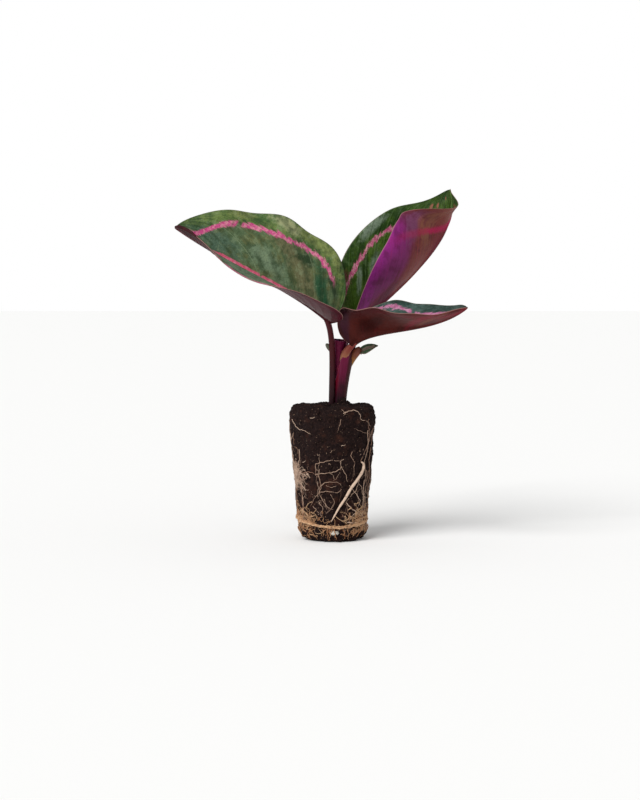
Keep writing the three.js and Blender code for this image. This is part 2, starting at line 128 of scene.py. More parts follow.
SMALL_BLADE = {
    "midrib": [(11.2, -4.8, 80.4), (13.5, -5.6, 82.6), (16, -6.6, 82.6), (19, -8, 83.6)],
    "relief": 0.0,
    "left": {
        "width": 2.9, "shape": (0.3, 0.7),
        "angle": [(0, 40), (1, 40)],
        "curl": [(0, 0), (1, 0)],
        "ring": [(0, 3), (1, 3)],
    },
    "right": {
        "width": 3.4, "shape": (0.8, 0.9),
        "angle": [(0, -50), (1, -30)],
        "curl": [(0, 0), (1, 0)],
        "ring": [(0, 3), (1, 3)],
    },
}
TIP_HALF_WIDTH = 0.5
BASE_HALF_WIDTH = 1.0
SHEET_THICKNESS = 0.34           # a leaf, away from its midrib
MARGIN_THICKNESS = 0.2
RIB_HALF_WIDTH = 0.9
RIB_DEPTH_BASE = 1.4
RIB_DEPTH_TIP = 0.25
GROOVE_DEPTH = 0.3               # along the upper side of the midrib
VEIN_SPACING = 3.6               # between lateral veins, along the midrib

# Plug, as in the source of the part: radius and height from the foot up to the rim.

PLUG_SIDE = [
    (11, 0), (12.9, 1.6), (14.2, 4.4), (14.7, 8), (15.0, 12), (15.4, 17), (15.8, 22),
    (16.3, 27), (16.7, 32), (17.1, 37), (17.5, 42), (18.0, 47), (18.3, 51), (18.2, 54),
]
PLUG_TOP = [(17.0, 56), (13.5, 57), (9.5, 57.7), (5, 58.2), (1.5, 58.4)]
LUMP_HEIGHT = 0.45


# Small maths helpers

def unit(v):
    return v / np.linalg.norm(v, axis=-1, keepdims=True)


def bezier(points, t):
    """Points and unit tangents of a cubic Bezier curve."""
    p0, p1, p2, p3 = (np.array(p, float) for p in points)
    t = np.asarray(t, float)[..., None]
    s = 1 - t
    point = s**3 * p0 + 3 * s * s * t * p1 + 3 * s * t * t * p2 + t**3 * p3
    slope = s * s * (p1 - p0) + 2 * s * t * (p2 - p1) + t * t * (p3 - p2)
    return point, unit(slope)


def keyed(pairs, t):
    """Smooth curve through (t, value) pairs, with slopes taken from the neighbours."""
    x = np.array([p[0] for p in pairs], float)
    y = np.array([p[1] for p in pairs], float)
    last = len(x) - 1
    above = np.minimum(np.arange(last + 1) + 1, last)
    below = np.maximum(np.arange(last + 1) - 1, 0)
    slope = (y[above] - y[below]) / (x[above] - x[below])
    i = np.clip(np.searchsorted(x, t, side="right") - 1, 0, last - 1)
    step = x[i + 1] - x[i]
    f = np.clip((t - x[i]) / step, 0, 1)
    return ((1 + 2 * f) * (1 - f) ** 2 * y[i] + f * (1 - f) ** 2 * step * slope[i]
            + f * f * (3 - 2 * f) * y[i + 1] + f * f * (f - 1) * step * slope[i + 1])


def smooth(x, low, high):
    """Rises from 0 at low to 1 at high."""
    q = np.clip((x - low) / (high - low), 0, 1)
    return q * q * (3 - 2 * q)


def spline(points, steps):
    """Points along a smooth curve through the given ones, with so many steps between two."""
    spans = len(points) - 1
    t = np.linspace(0, spans, spans * steps + 1)
    return np.stack([keyed(list(enumerate(column)), t) for column in zip(*points)], -1)


# Meshes

def add_object(name, data):
    made = bpy.data.objects.new(name, data)
    bpy.context.collection.objects.link(made)
    return made


class Parts:
    """Vertices in millimetres, faces and point attributes, gathered into one mesh."""

    def __init__(self):
        self.vertices = []
        self.faces = []
        self.slots = []
        self.count = 0
        self.attributes = {}

    def add(self, vertices, faces, slots=0, **attributes):
        """Slots is the material slot of all the faces, or a list of one for each."""
        vertices = np.asarray(vertices, float).reshape(-1, 3)
        for name in sorted({*attributes, *self.attributes}):
            column = np.broadcast_to(np.asarray(attributes.get(name, 0), float), len(vertices))
            self.attributes.setdefault(name, [np.zeros(self.count)]).append(column)
        self.vertices.append(vertices)
        self.faces.extend(tuple(self.count + i for i in face) for face in faces)
        self.slots.extend(np.broadcast_to(slots, len(faces)).tolist())
        self.count += len(vertices)

    def build(self, name, *materials):
        mesh = bpy.data.meshes.new(name)
        mesh.from_pydata(np.vstack(self.vertices) * MM, [], self.faces)
        for key, columns in self.attributes.items():
            attribute = mesh.attributes.new(key, "FLOAT", "POINT")
            attribute.data.foreach_set("value", np.concatenate(columns))
        for material in materials:
            mesh.materials.append(material)
        mesh.polygons.foreach_set("material_index", self.slots)
        mesh.polygons.foreach_set("use_smooth", [True] * len(mesh.polygons))
        mesh.update()
        return add_object(name, mesh)


def icosphere(subdivisions):
    bm = bmesh.new()
    bmesh.ops.create_icosphere(bm, subdivisions=subdivisions, radius=1)
    points = np.array([v.co for v in bm.verts])
    faces = [tuple(v.index for v in face.verts) for face in bm.faces]
    bm.free()
    return points, faces


def grid_faces(rows, columns, start=0, closed=False):
    """Quads of a grid of points, row by row; closed joins the last column to the first."""
    faces = []
    for i in range(rows - 1):
        for j in range(columns if closed else columns - 1):
            a = start + i * columns + j
            b = start + i * columns + (j + 1) % columns
            faces.append((a, b, b + columns, a + columns))
    return faces


def tube_faces(rows, columns):
    """Faces of rings of points, one ring a row, with a point at each end after the rings."""
    faces = grid_faces(rows, columns, closed=True)
    first = rows * columns
    top = first - columns
    for j in range(columns):
        after = (j + 1) % columns
        faces.append((first, after, j))
        faces.append((first + 1, top + j, top + after))
    return faces


def closed_sheet(parts, upper, lower, marks, under=0):
    """Sheet between two grids of points, closed along its rim. Marks are attributes."""
    rows, columns = upper.shape[:2]
    total = rows * columns
    top = [face[::-1] for face in grid_faces(rows, columns)]
    bottom = grid_faces(rows, columns, total)
    edge = (list(range(columns))
            + [i * columns + columns - 1 for i in range(1, rows)]
            + [(rows - 1) * columns + j for j in range(columns - 2, -1, -1)]
            + [i * columns for i in range(rows - 2, 0, -1)])
    rim = []
    for k, a in enumerate(edge):
        b = edge[(k + 1) % len(edge)]
        rim.append((a, b, total + b, total + a))
    both = {key: np.tile(v.ravel(), 2) for key, v in marks.items()}
    slots = [0] * len(top) + [under] * (len(bottom) + len(rim))
    parts.add(np.vstack([upper.reshape(-1, 3), lower.reshape(-1, 3)]), top + bottom + rim,
              slots, **both)


def tube(points, radii, sides):
    """Vertices and faces of a closed round tube along points. Radii is an array of one per
    point, or of one per point and side."""
    tangents = unit(np.gradient(points, axis=0))
    normal = np.cross(tangents[0], (0.3, 0.9, 0.2))
    rings = []
    angles = np.arange(sides) * 2 * math.pi / sides
    if radii.ndim == 1:
        radii = radii[:, None]
    for point, tangent, radius in zip(points, tangents, radii):
        normal = normal - tangent * (normal @ tangent)
        normal /= np.linalg.norm(normal)
        side = np.cross(tangent, normal)
        ring = np.cos(angles)[:, None] * normal + np.sin(angles)[:, None] * side
        rings.append(point + ring * radius[:, None])
    return np.vstack([*rings, points[:1], points[-1:]]), tube_faces(len(points), sides)


# Materials

def colour(*rgb):
    """Colour of a surface that looks like this sRGB colour, from 0 to 255, under the lights."""
    c = np.array(rgb) / 255
    linear = np.where(c <= 0.04045, c / 12.92, ((c + 0.055) / 1.055) ** 2.4)
    return (*(linear * SURFACE_SHARE), 1)


class Field:
    """A number or colour that varies over a surface: the output of a shader node."""

    def __init__(self, graph, socket):
        self.graph = graph
        self.socket = socket

    def __add__(self, other):
        return self.graph.math("ADD", self, other)

    def __sub__(self, other):
        return self.graph.math("SUBTRACT", self, other)

    def __mul__(self, other):
        return self.graph.math("MULTIPLY", self, other)

    def __abs__(self):
        return self.graph.math("ABSOLUTE", self)


class Graph:
    """One material, and the nodes that make its colour, roughness and bump. The colours in
    its look can be used by their names."""

    def __init__(self, name, **look):
        self.tones = {key: colour(*v) for key, v in look.items() if isinstance(v, tuple)}
        self.material = bpy.data.materials.new(name)
        self.material.use_nodes = True
        self.tree = self.material.node_tree
        self.shader = self.tree.nodes["Principled BSDF"]

    def node(self, kind, inputs, output=0, **settings):
        made = self.tree.nodes.new(kind)
        for key, value in settings.items():
            setattr(made, key, value)
        for key, value in inputs.items():
            self.feed(made.inputs[key], value)
        return Field(self, made.outputs[output])

    def feed(self, socket, value):
        if isinstance(value, Field):
            self.tree.links.new(value.socket, socket)
        else:
            socket.default_value = self.tones[value] if isinstance(value, str) else value

    def math(self, operation, a, b=0.0):
        return self.node("ShaderNodeMath", {0: a, 1: b}, operation=operation)

    def read(self, name):
        """Attribute of the mesh."""
        return self.node("ShaderNodeAttribute", {}, "Fac", attribute_name=name)

    def place(self):
        """Point on the object, in metres."""
        return self.node("ShaderNodeTexCoord", {}, "Object")

    def vector(self, x, y, z=0.0):
        return self.node("ShaderNodeCombineXYZ", {0: x, 1: y, 2: z})

    def noise(self, vector, scale, detail=2.0, roughness=0.5):
        inputs = {"Vector": vector, "Scale": scale, "Detail": detail, "Roughness": roughness}
        return self.node("ShaderNodeTexNoise", inputs, "Fac")

    def grains(self, scale, detail=2.0, roughness=0.5):
        """Noise through the whole object, with the scale in features a metre."""
        return self.noise(self.place(), scale, detail, roughness)

    def band(self, value, low, high):
        """Rises smoothly from 0 where the value is low to 1 where it is high."""
        inputs = {"Value": value, "From Min": low, "From Max": high}
        return self.node("ShaderNodeMapRange", inputs, interpolation_type="SMOOTHSTEP")

    def mix(self, share, a, b):
        inputs = {0: share, 6: a, 7: b}
        return self.node("ShaderNodeMix", inputs, 2, data_type="RGBA", clamp_factor=True)

    def layers(self, base, *layers):
        """Lays tones over a base: each is none where its value is low and all where it is
        high, times its share."""
        for tone, value, low, high, share in layers:
            base = self.mix(self.band(value, low, high) * share, base, tone)
        return base

    def ripple(self, value, spacing):
        """From 0 half way between lines that are spacing apart, to 1 on each line."""
        return abs(self.math("PINGPONG", value, spacing / 2) * (2 / spacing) - 1.0)

    def finish(self, base, roughness, height=None, relief=0.1, specular=0.5):
        """Wires the shader. Relief is the depth of the bump in millimetres."""
        self.feed(self.shader.inputs["Base Color"], base)
        self.feed(self.shader.inputs["Roughness"], roughness)
        self.shader.inputs["Specular IOR Level"].default_value = specular
        if height is not None:
            inputs = {"Strength": 1.0, "Distance": relief * MM, "Height": height}
            self.feed(self.shader.inputs["Normal"], self.node("ShaderNodeBump", inputs))
        return self.material


# Looks of the upper sides. Blots are soft patches, each a tone with its middle and its half
# widths as shares of the length and of the half width of the blade. Midribs are the pink
# stretches of the midrib. The pink ring has a start, an end and a gap, or -1 for no gap.
# The last number is the strength of the painted shade beside every second vein, which
# stands for the shading of the puckered relief between the veins.

LEAF_LOOKS = {
    "green_leaf": {
        "inner": (90, 112, 76), "olive": (110, 116, 72), "outer": (112, 134, 68),
        "outer_dark": (74, 106, 50), "deep": (32, 60, 26), "vein": (150, 170, 130),
        "pink": (212, 74, 140), "pink_pale": (232, 146, 166), "midrib": (214, 92, 122),
        # Sage and blue are painted sheen: pale grey-green and grey-blue patches that stand for the
        # sky reflected on the blade.
        "emerald": (24, 82, 50), "brown": (116, 112, 76), "sage_sheen": (122, 144, 114),
        "blue_sheen": (80, 108, 90), "black": (26, 50, 22), "lime": (138, 150, 84),
        # Near is painted sheen as well: a grey-green wash over the outer part of the left half.
        "straw": (180, 182, 134), "near": (120, 138, 118),
        "blots": [
            ("brown", 0.28, 0.32, 0.1, 0.3), ("emerald", 0.16, 0.38, 0.065, 0.36),
            ("black", 0.36, 0.58, 0.05, 0.1), ("sage_sheen", 0.5, 0.26, 0.12, 0.2),
            ("brown", 0.45, 0.6, 0.08, 0.12), ("blue_sheen", 0.82, 0.25, 0.14, 0.3),
            ("black", 0.13, 0.62, 0.05, 0.1), ("lime", 0.3, 0.92, 0.14, 0.1),
            ("outer_dark", 0.66, 0.95, 0.05, 0.12), ("lime", 0.74, 0.93, 0.08, 0.09),
            ("straw", 0.5, 0.91, 0.1, 0.1), ("lime", 0.2, 0.93, 0.08, 0.1),
            ("black", 0.3, 0.6, 0.035, 0.12), ("brown", 0.3, 0.4, 0.06, 0.16),
            ("emerald", 0.12, 0.24, 0.05, 0.2),
        ],
        "midribs": [(0.17, 0.49), (0.515, 0.82)], "gap": 0.733, "ring_start": 0.13,
        "ring_end": 0.94, "blot_strength": 0.85, "vein_shade": 0.5,
    },
    "dark_leaf": {
        "inner": (78, 110, 34), "olive": (92, 120, 50), "outer": (64, 94, 24),
        "outer_dark": (40, 70, 16), "deep": (28, 52, 12), "vein": (108, 136, 84),
        "pink": (208, 92, 136), "pink_pale": (236, 166, 180), "midrib": (120, 76, 50),
        "sheen": (136, 154, 132), "red": (124, 44, 60), "salmon": (208, 124, 104),
        "blots": [
            ("deep", 0.27, 0.6, 0.03, 0.2), ("deep", 0.57, 0.66, 0.07, 0.1),
            ("sheen", 0.45, 0.93, 0.13, 0.08), ("sheen", 0.2, 0.53, 0.025, 0.16),
            ("sheen", 0.32, 0.5, 0.045, 0.14), ("red", 0.1, 0.76, 0.07, 0.12),
            ("salmon", 0.85, 0.58, 0.022, 0.07), ("salmon", 0.87, 0.44, 0.016, 0.06),
            ("salmon", 0.94, 0.3, 0.01, 0.05),
        ],
        "midribs": [(0.2, 0.5)], "gap": -1, "ring_start": 0.09, "ring_end": 0.62,
        "blot_strength": 0.9, "vein_shade": 0.3,
    },
    "teal_leaf": {
        "inner": (54, 82, 76), "olive": (74, 98, 90), "outer": (56, 84, 76),
        "outer_dark": (40, 64, 56), "deep": (26, 46, 38), "vein": (108, 132, 124),
        "pink": (190, 104, 148), "pink_pale": (212, 148, 180), "midrib": (190, 96, 124),
        "black": (24, 42, 34),
        "blots": [("black", 0.36, 0.8, 0.06, 0.3), ("olive", 0.58, 0.85, 0.08, 0.2)],
        "midribs": [(0.2, 0.5)], "gap": 0.54, "ring_start": 0.13, "ring_end": 0.92,
        "blot_strength": 0.7, "vein_shade": 0.3,
    },
    "small_leaf": {
        "inner": (62, 96, 62), "olive": (112, 118, 92), "outer": (58, 92, 56),
        "outer_dark": (44, 70, 44), "deep": (34, 60, 36), "vein": (128, 150, 112),
        "pink": (150, 136, 118), "pink_pale": (160, 146, 130), "midrib": (158, 142, 124),
        "blots": [], "midribs": [(0.1, 0.9)], "gap": -1, "ring_start": 0.13, "ring_end": 0.9,
        "blot_strength": 0, "vein_shade": 0,
    },
}
LEAF_EDGE = colour(118, 116, 96)
VEIN_SLANT = 0.32                # how far along the blade a vein runs on its way to the margin
FINE_SPACING = 0.7               # between the fine lines that run beside the veins


def add_blots(g, base, blots, wander, strength):
    """Soft patches on a blade, stretched along the veins, with edges moved by wander."""
    for tone, t, u, half_t, half_u in blots:
        away_u = g.read("out") - u
        away_t = g.read("along") - t - away_u * VEIN_SLANT
        away = g.vector(away_t * (1 / half_t), away_u * (1 / half_u))
        distance = g.node("ShaderNodeVectorMath", {0: away}, "Value", operation="LENGTH")
        base = g.mix(g.band(distance + wander, 1.25, 0.45) * strength, base, tone)
    return base


def pink_ring(g, look):
    """Share of pink on the upper side: a ragged ring with breaks."""
    along = g.read("along")
    vein = g.read("vein")
    teeth = (g.noise(g.vector(vein * 0.8, g.read("rib") * 0.3), 1.0, 5.0, 0.85) - 0.5) * 7.0
    half_width = g.noise(g.vector(along * 16.0, 3.0), 1.0, 1.0) * 1.6
    half_width = half_width + g.band(along, 0.5, 0.8) * 0.6
    pink = g.band(abs(g.read("ring") + teeth) - half_width, 0.35, -0.2)
    pink = pink * g.band(g.noise(g.vector(along * 11.0, 7.0), 1.0, 2.0), 0.28, 0.38)
    pink = pink * g.band(abs(along - look["gap"]), 0.006, 0.02)
    start = look["ring_start"]
    end = look["ring_end"]
    return pink * g.band(along, start - 0.03, start + 0.03) * g.band(along, end + 0.03, end - 0.03)


def pink_midrib(g, look):
    """How pink the midrib is along the blade, tapering at its first and last end."""
    along = g.read("along")
    share = 0.2
    for start, end in look["midribs"]:
        middle = (start + end) / 2
        half = (end - start) / 2
        share = g.band(abs(along - middle), half + 0.015, half) + share
    first, last = look["midribs"][0][0], look["midribs"][-1][1]
    share = share * g.band(along, first - 0.03, first + 0.09)
    return share * g.band(along, last + 0.02, last - 0.1)


def leaf_upper(name):
    """Green upper side: mottled, with pale veins, a ragged pink ring and a pink midrib."""
    look = LEAF_LOOKS[name]
    g = Graph(name, **look)
    along = g.read("along")
    vein = g.read("vein")
    rib = g.read("rib")
    patches = g.grains(170.0, 3.0, 0.6)
    clouds = g.grains(300.0, 3.0, 0.6)
    mottle = g.grains(620.0, 4.0, 0.7)
    grain = g.grains(1700.0, 3.0, 0.6)
    streaks = g.noise(g.vector(vein * 0.8, rib * 0.1, along * 3.0), 1.0, 4.0, 0.65)
    inner = g.mix(g.band(patches + streaks * 0.5, 0.66, 0.88), "inner", "olive")
    outer = g.mix(g.band(patches + streaks * 0.6, 0.7, 0.92), "outer", "outer_dark")
    base = g.mix(g.band(g.read("ring") + (streaks - 0.5) * 3.0, -0.6, 1.6), inner, outer)
    wander = (mottle - 0.5) * 1.1 + (patches - 0.5) * 1.4
    base = add_blots(g, base, look["blots"], wander, look["blot_strength"])
    # Painted sheen: a grey-green wash over the left half, from a third of its length to the tip,
    # that stands for the sky reflected there.
    if "near" in look:
        base = g.mix(g.read("near") * g.band(along, 0.3, 0.5) * 0.75, base, "near")
    base = g.layers(base, ("deep", clouds, 0.5, 0.64, 0.45), ("vein", clouds, 0.46, 0.34, 0.3),
                    ("deep", mottle, 0.52, 0.72, 0.42), ("vein", mottle, 0.46, 0.3, 0.3),
                    ("deep", streaks, 0.56, 0.74, 0.3))
    # Painted shade: a darker band beside every second lateral vein, standing for the shading of the
    # puckered relief between the veins.
    bent = vein + (patches - 0.5) * 3.0
    vein_shade = g.band(g.ripple(bent, 2 * VEIN_SPACING), 0.45, 0.95) * g.band(patches, 0.36, 0.56)
    base = g.mix(vein_shade * look["vein_shade"], base, "deep")
    lines = g.ripple(vein, VEIN_SPACING)
    chosen = g.band(g.noise(g.vector(vein * 0.21, 2.0), 1.0, 2.0), 0.5, 0.64) * 0.8 + 0.06
    fine = g.ripple(vein, FINE_SPACING)
    base = g.layers(base, ("vein", lines, 0.84, 1.0, chosen), ("vein", fine, 0.6, 1.0, 0.05),
                    ("deep", grain, 0.5, 0.72, 0.3))
    pink = g.mix(g.band(mottle, 0.42, 0.62), "pink", "pink_pale")
    base = g.mix(pink_ring(g, look), base, pink)
    stretches = pink_midrib(g, look)
    rib_width = stretches + (mottle - 0.5) - 0.2
    midrib = g.mix(g.band(mottle, 0.44, 0.66) * 0.6, "midrib", "pink_pale")
    base = g.mix(g.band(rib - rib_width, 0.25, -0.1) * stretches, base, midrib)
    base = g.layers(base, (LEAF_EDGE, g.read("margin"), 0.34, 0.12, 0.8))
    height = g.band(lines, 0.6, 1.0) * -0.6 + fine * 0.12 + grain * 0.5 + mottle * 0.8
    return g.finish(base, patches * 0.25 + 0.3, height, 0.2, specular=0.22)


UNDERSIDE_LOOKS = {
    "green_underside": {
        "base": (76, 18, 26), "tip": (58, 20, 24), "margin": (80, 22, 36),
        "streak": (104, 28, 42), "dark": (40, 10, 14), "blots": [],
    },
    "purple_underside": {
        "base": (112, 38, 60), "tip": (132, 70, 50), "margin": (150, 44, 134),
        "streak": (178, 30, 82), "dark": (82, 20, 44), "grey": (122, 72, 104),
        "brown": (126, 60, 48), "plum": (128, 48, 108), "bronze": (132, 84, 66),
        "blots": [
            ("brown", 0.5, 0.25, 0.2, 0.42), ("dark", 0.22, 0.16, 0.1, 0.26),
            ("plum", 0.3, 0.6, 0.2, 0.24), ("grey", 0.62, 0.76, 0.12, 0.2),
            ("bronze", 0.67, 0.52, 0.09, 0.3), ("margin", 0.14, 0.6, 0.07, 0.4),
        ],
    },
    "maroon_underside": {
        "base": (80, 24, 18), "tip": (104, 28, 30), "margin": (70, 24, 26),
        "streak": (126, 22, 40), "dark": (50, 10, 8), "violet": (56, 20, 38),
        "brown": (120, 62, 46),
        "blots": [
            ("violet", 0.1, 0.66, 0.1, 0.5), ("dark", 0.3, 0.35, 0.12, 0.3),
            ("streak", 0.68, 0.5, 0.05, 0.6), ("brown", 0.76, 0.5, 0.03, 0.5),
        ],
    },
    "small_underside": {
        "base": (96, 70, 52), "tip": (54, 40, 30), "margin": (60, 40, 34),
        "streak": (96, 70, 54), "dark": (42, 28, 22), "blots": [],
    },
}
UNDERSIDE_EDGE = colour(168, 126, 118)


def leaf_underside(name):
    """Purple underside, with the ring of the upper side showing through as a red streak."""
    look = UNDERSIDE_LOOKS[name]
    g = Graph(name, **look)
    along = g.read("along")
    out = g.read("out")
    vein = g.read("vein")
    patches = g.grains(140.0, 3.0, 0.6)
    mottle = g.grains(520.0, 4.0, 0.65)
    grain = g.grains(1700.0, 3.0)
    streaks = g.noise(g.vector(vein * 0.7, g.read("rib") * 0.06), 1.0, 4.0, 0.6)
    wander = (mottle - 0.5) * 0.7 + (streaks - 0.5) * 1.2
    base = g.mix(g.band(along + wander * 0.12, 0.5, 0.9), "base", "tip")
    near_margin = g.band(out + wander * 0.12, 0.45, 0.95) * g.band(along, 0.7, 0.45)
    base = g.mix(near_margin, base, "margin")
    base = add_blots(g, base, look["blots"], wander, 0.85)
    base = g.layers(base, ("dark", patches + streaks * 0.6, 0.78, 1.0, 0.5),
                    ("dark", mottle, 0.54, 0.72, 0.3), ("streak", streaks, 0.44, 0.28, 0.25))
    spread = (streaks - 0.5) * 3.0 + (mottle - 0.5) * 2.0
    streak = g.band(abs(g.read("ring") + spread), 3.2, 0.4) * g.band(along, 0.34, 0.56)
    streak = streak * (g.band(out, 0.95, 0.3) * 0.7 + 0.3)
    base = g.mix(streak * (patches * 1.2 + 0.2), base, "streak")
    lines = g.ripple(vein, VEIN_SPACING)
    base = g.layers(base, ("margin", lines, 0.8, 1.0, 0.08), ("dark", grain, 0.5, 0.75, 0.25),
                    (UNDERSIDE_EDGE, g.read("margin"), 0.3, 0.12, 0.8))
    height = g.band(lines, 0.7, 1.0) * 0.2 + g.ripple(vein, FINE_SPACING) * 0.05
    return g.finish(base, 0.5, height + grain * 0.5 + mottle * 0.7, 0.12, specular=0.1)


# Blades

def half_surface(blade, side, t, u):
    """Points, normals and half width of the upper face of a half blade."""
    sign = 1 if side == "left" else -1
    half = blade[side]
    point, tangent = bezier(blade["midrib"], t)
    chord = np.subtract(blade["midrib"][3], blade["midrib"][0])
    level = np.array([-chord[1], chord[0], 0.0]) / math.hypot(chord[0], chord[1])
    across = unit(level - tangent * (tangent @ level)[..., None])
    up = np.cross(tangent, across)
    a, b = half["shape"]
    peak = (a / (a + b)) ** a * (b / (a + b)) ** b
    depth, count, phase = half.get("scallop", STRAIGHT)
    width = half["width"] * t**a * (1 - t) ** b / peak
    width = width * (1 + depth * np.sin(2 * math.pi * (count * t + phase)))
    width = np.maximum(width, BASE_HALF_WIDTH + (TIP_HALF_WIDTH - BASE_HALF_WIDTH) * t)
    start = np.radians(keyed(half["angle"], t))
    turn = np.radians(keyed(half["curl"], t))
    turn = np.where(turn == 0, 1e-4, turn)
    lean = start + turn * u
    reach = (np.sin(lean) - np.sin(start)) / turn
    rise = (np.cos(start) - np.cos(lean)) / turn
    normal = np.cos(lean)[..., None] * up - sign * np.sin(lean)[..., None] * across
    height, count, phase = half.get("wave", STRAIGHT)
    wave = height * u * u * np.sin(2 * math.pi * (count * t + phase))
    wave = wave * np.sqrt(np.maximum(np.sin(math.pi * t), 0))
    place = (point + sign * (width * reach)[..., None] * across
             + (width * rise)[..., None] * up + wave[..., None] * normal
             + (half.get("sweep", 0) * width * u * (1 - t) ** 2)[..., None] * tangent)
    return place, normal, width


def vein_place(t, u, length):
    """Where the lateral vein through a point leaves the midrib, in millimetres along it."""
    return (t - (0.08 + 0.55 * t) * u) * length


def blade_mesh(blade, rows, columns, thickness):
    """Closed sheet of a blade, with the coordinates that its markings are made from."""
    ends = np.linspace(0, 1, rows)
    t = 0.5 * smooth(ends, 0, 1) ** 1.2 + 0.5 * ends
    share = np.linspace(0, 1, columns + 1)
    u = share**1.15
    length = np.linalg.norm(np.subtract(blade["midrib"][3], blade["midrib"][0]))
    grid = np.meshgrid(t, u, indexing="ij")
    left = [*grid, *half_surface(blade, "left", *grid)]
    right = [*grid, *half_surface(blade, "right", *grid)]
    whole = [np.hstack([a[:, ::-1], b[:, 1:]]) for a, b in zip(left, right)]
    tt, uu, place, normal, width = whole
    middle = columns
    normal[:, middle] = unit(left[3][:, 0] + right[3][:, 0])
    rib = uu * width
    margin = (1 - uu) * width
    vein = vein_place(tt, uu, length)
    pucker = np.abs(np.sin(math.pi * vein / VEIN_SPACING)) ** 0.7
    pucker = pucker * smooth(rib, 0.6, 4) * smooth(margin, 0.2, 5) * smooth(width, 3, 8)
    groove = np.exp(-((rib / RIB_HALF_WIDTH) ** 2)) * smooth(tt, 0, 0.06)
    upper = place + normal * (blade["relief"] * pucker - GROOVE_DEPTH * groove)[..., None]
    depth = MARGIN_THICKNESS + (thickness - MARGIN_THICKNESS) * smooth(margin, 0, 2)
    rib_depth = RIB_DEPTH_BASE + (RIB_DEPTH_TIP - RIB_DEPTH_BASE) * tt
    ridge = rib_depth * np.exp(-((rib / (RIB_HALF_WIDTH * 0.8)) ** 2))
    veins = 0.25 * blade["relief"] * np.exp(-((np.sin(math.pi * vein / VEIN_SPACING) / 0.25) ** 2))
    veins = veins * smooth(rib, 0, 2) * smooth(margin, 0, 6)
    lower = place + normal * (0.3 * blade["relief"] * pucker - depth - ridge - veins)[..., None]
    count = 2 * columns + 1
    rings = {side: keyed(blade[side]["ring"], tt) for side in ("left", "right")}
    left_half = np.arange(count) <= middle
    ring = (uu - np.where(left_half, rings["left"], rings["right"])) * width
    near = np.broadcast_to(left_half * 1.0, tt.shape)
    marks = {"along": tt, "out": uu, "ring": ring, "vein": vein, "rib": rib, "margin": margin,
             "near": near}
    parts = Parts()
    closed_sheet(parts, upper, lower, marks, under=1)
    return parts


def dress(piece, slot, *nodes):
    """Hangs a piece on the root body and hides the nodes of the part that it takes the place of."""
    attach(piece, "root")
    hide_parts(*nodes)


LEAF_ROWS = 170                  # along a large leaf
LEAF_COLUMNS = 36                # across each half of it
SMALL_ROWS = 60
SMALL_COLUMNS = 12
SMALL_THICKNESS = 0.25
ROLL_START = 0.84                # share of the length where the margin starts to roll up
ROLL_RADIUS = 0.85
ROLL_ROWS = 36
ROLL_SIDES = 14


def rolled_tip(parts, blade):
    """Margin of the left half rolled up towards the tip of the blade, underside out."""
    t = np.linspace(ROLL_START, 1, ROLL_ROWS)
    points, _, _ = half_surface(blade, "left", t, np.full(ROLL_ROWS, 0.96))
    radii = 0.1 + (ROLL_RADIUS - 0.1) * smooth(t, ROLL_START, 0.96)
    radii = radii * np.sqrt(1 - smooth(t, 0.985, 1.0) * 0.75)
    vertices, faces = tube(points, radii, ROLL_SIDES)
    along = np.append(np.repeat(t, ROLL_SIDES), [ROLL_START, 1])
    parts.add(vertices, faces, 1, along=along, out=1, ring=9, vein=along * 70, rib=9, margin=9)


def leaf(name, blade, upper, lower, slot):
    parts = blade_mesh(blade, LEAF_ROWS, LEAF_COLUMNS, SHEET_THICKNESS)
    if name == "left_leaf":
        rolled_tip(parts, blade)
    dress(parts.build(name, leaf_upper(upper), leaf_underside(lower)), slot, name)


# Stems

STEM_COLOURS = {
    "left_stalk": {"low": (36, 8, 16), "high": (86, 14, 24), "streak": (88, 20, 40)},
    "upright_stalk": {"low": (60, 18, 36), "high": (96, 30, 60), "streak": (130, 50, 90)},
    "right_stalk": {"low": (204, 146, 104), "high": (134, 50, 44), "streak": (186, 112, 92)},
    "small_stalk": {"low": (176, 122, 34), "high": (130, 70, 56), "streak": (146, 84, 44)},
    "dead_scale": {"low": (88, 66, 54), "high": (110, 112, 96), "streak": (132, 126, 110)},
}
# The dark tone is painted shade on the right side of the sheath, away from the sun. The streak tone
# gives lengthwise streaks and also a painted highlight along the edges of the sheath.
SHEATH_COLOURS = {
    "foot": (26, 2, 8), "top": (118, 16, 62), "crimson": (112, 8, 34), "dark": (64, 8, 18),
    "violet": (58, 18, 70), "streak": (150, 62, 104),
}


def stem_skin(name):
    """Smooth skin with lengthwise streaks, from one colour at the bottom to another."""
    g = Graph(name, **STEM_COLOURS[name])
    along = g.read("along")
    streaks = g.noise(g.vector(g.read("around") * 2.2, along * 0.9), 2.0, 4.0, 0.6)
    patches = g.grains(230.0)
    base = g.mix(g.band(along + (patches - 0.5) * 0.3, 0.1, 0.9), "low", "high")
    base = g.layers(base, ("streak", streaks, 0.48, 0.75, 0.6))
    height = streaks * 0.8 + g.grains(2200.0) * 0.3
    return g.finish(base, patches * 0.2 + 0.36, height, 0.08, specular=0.2)


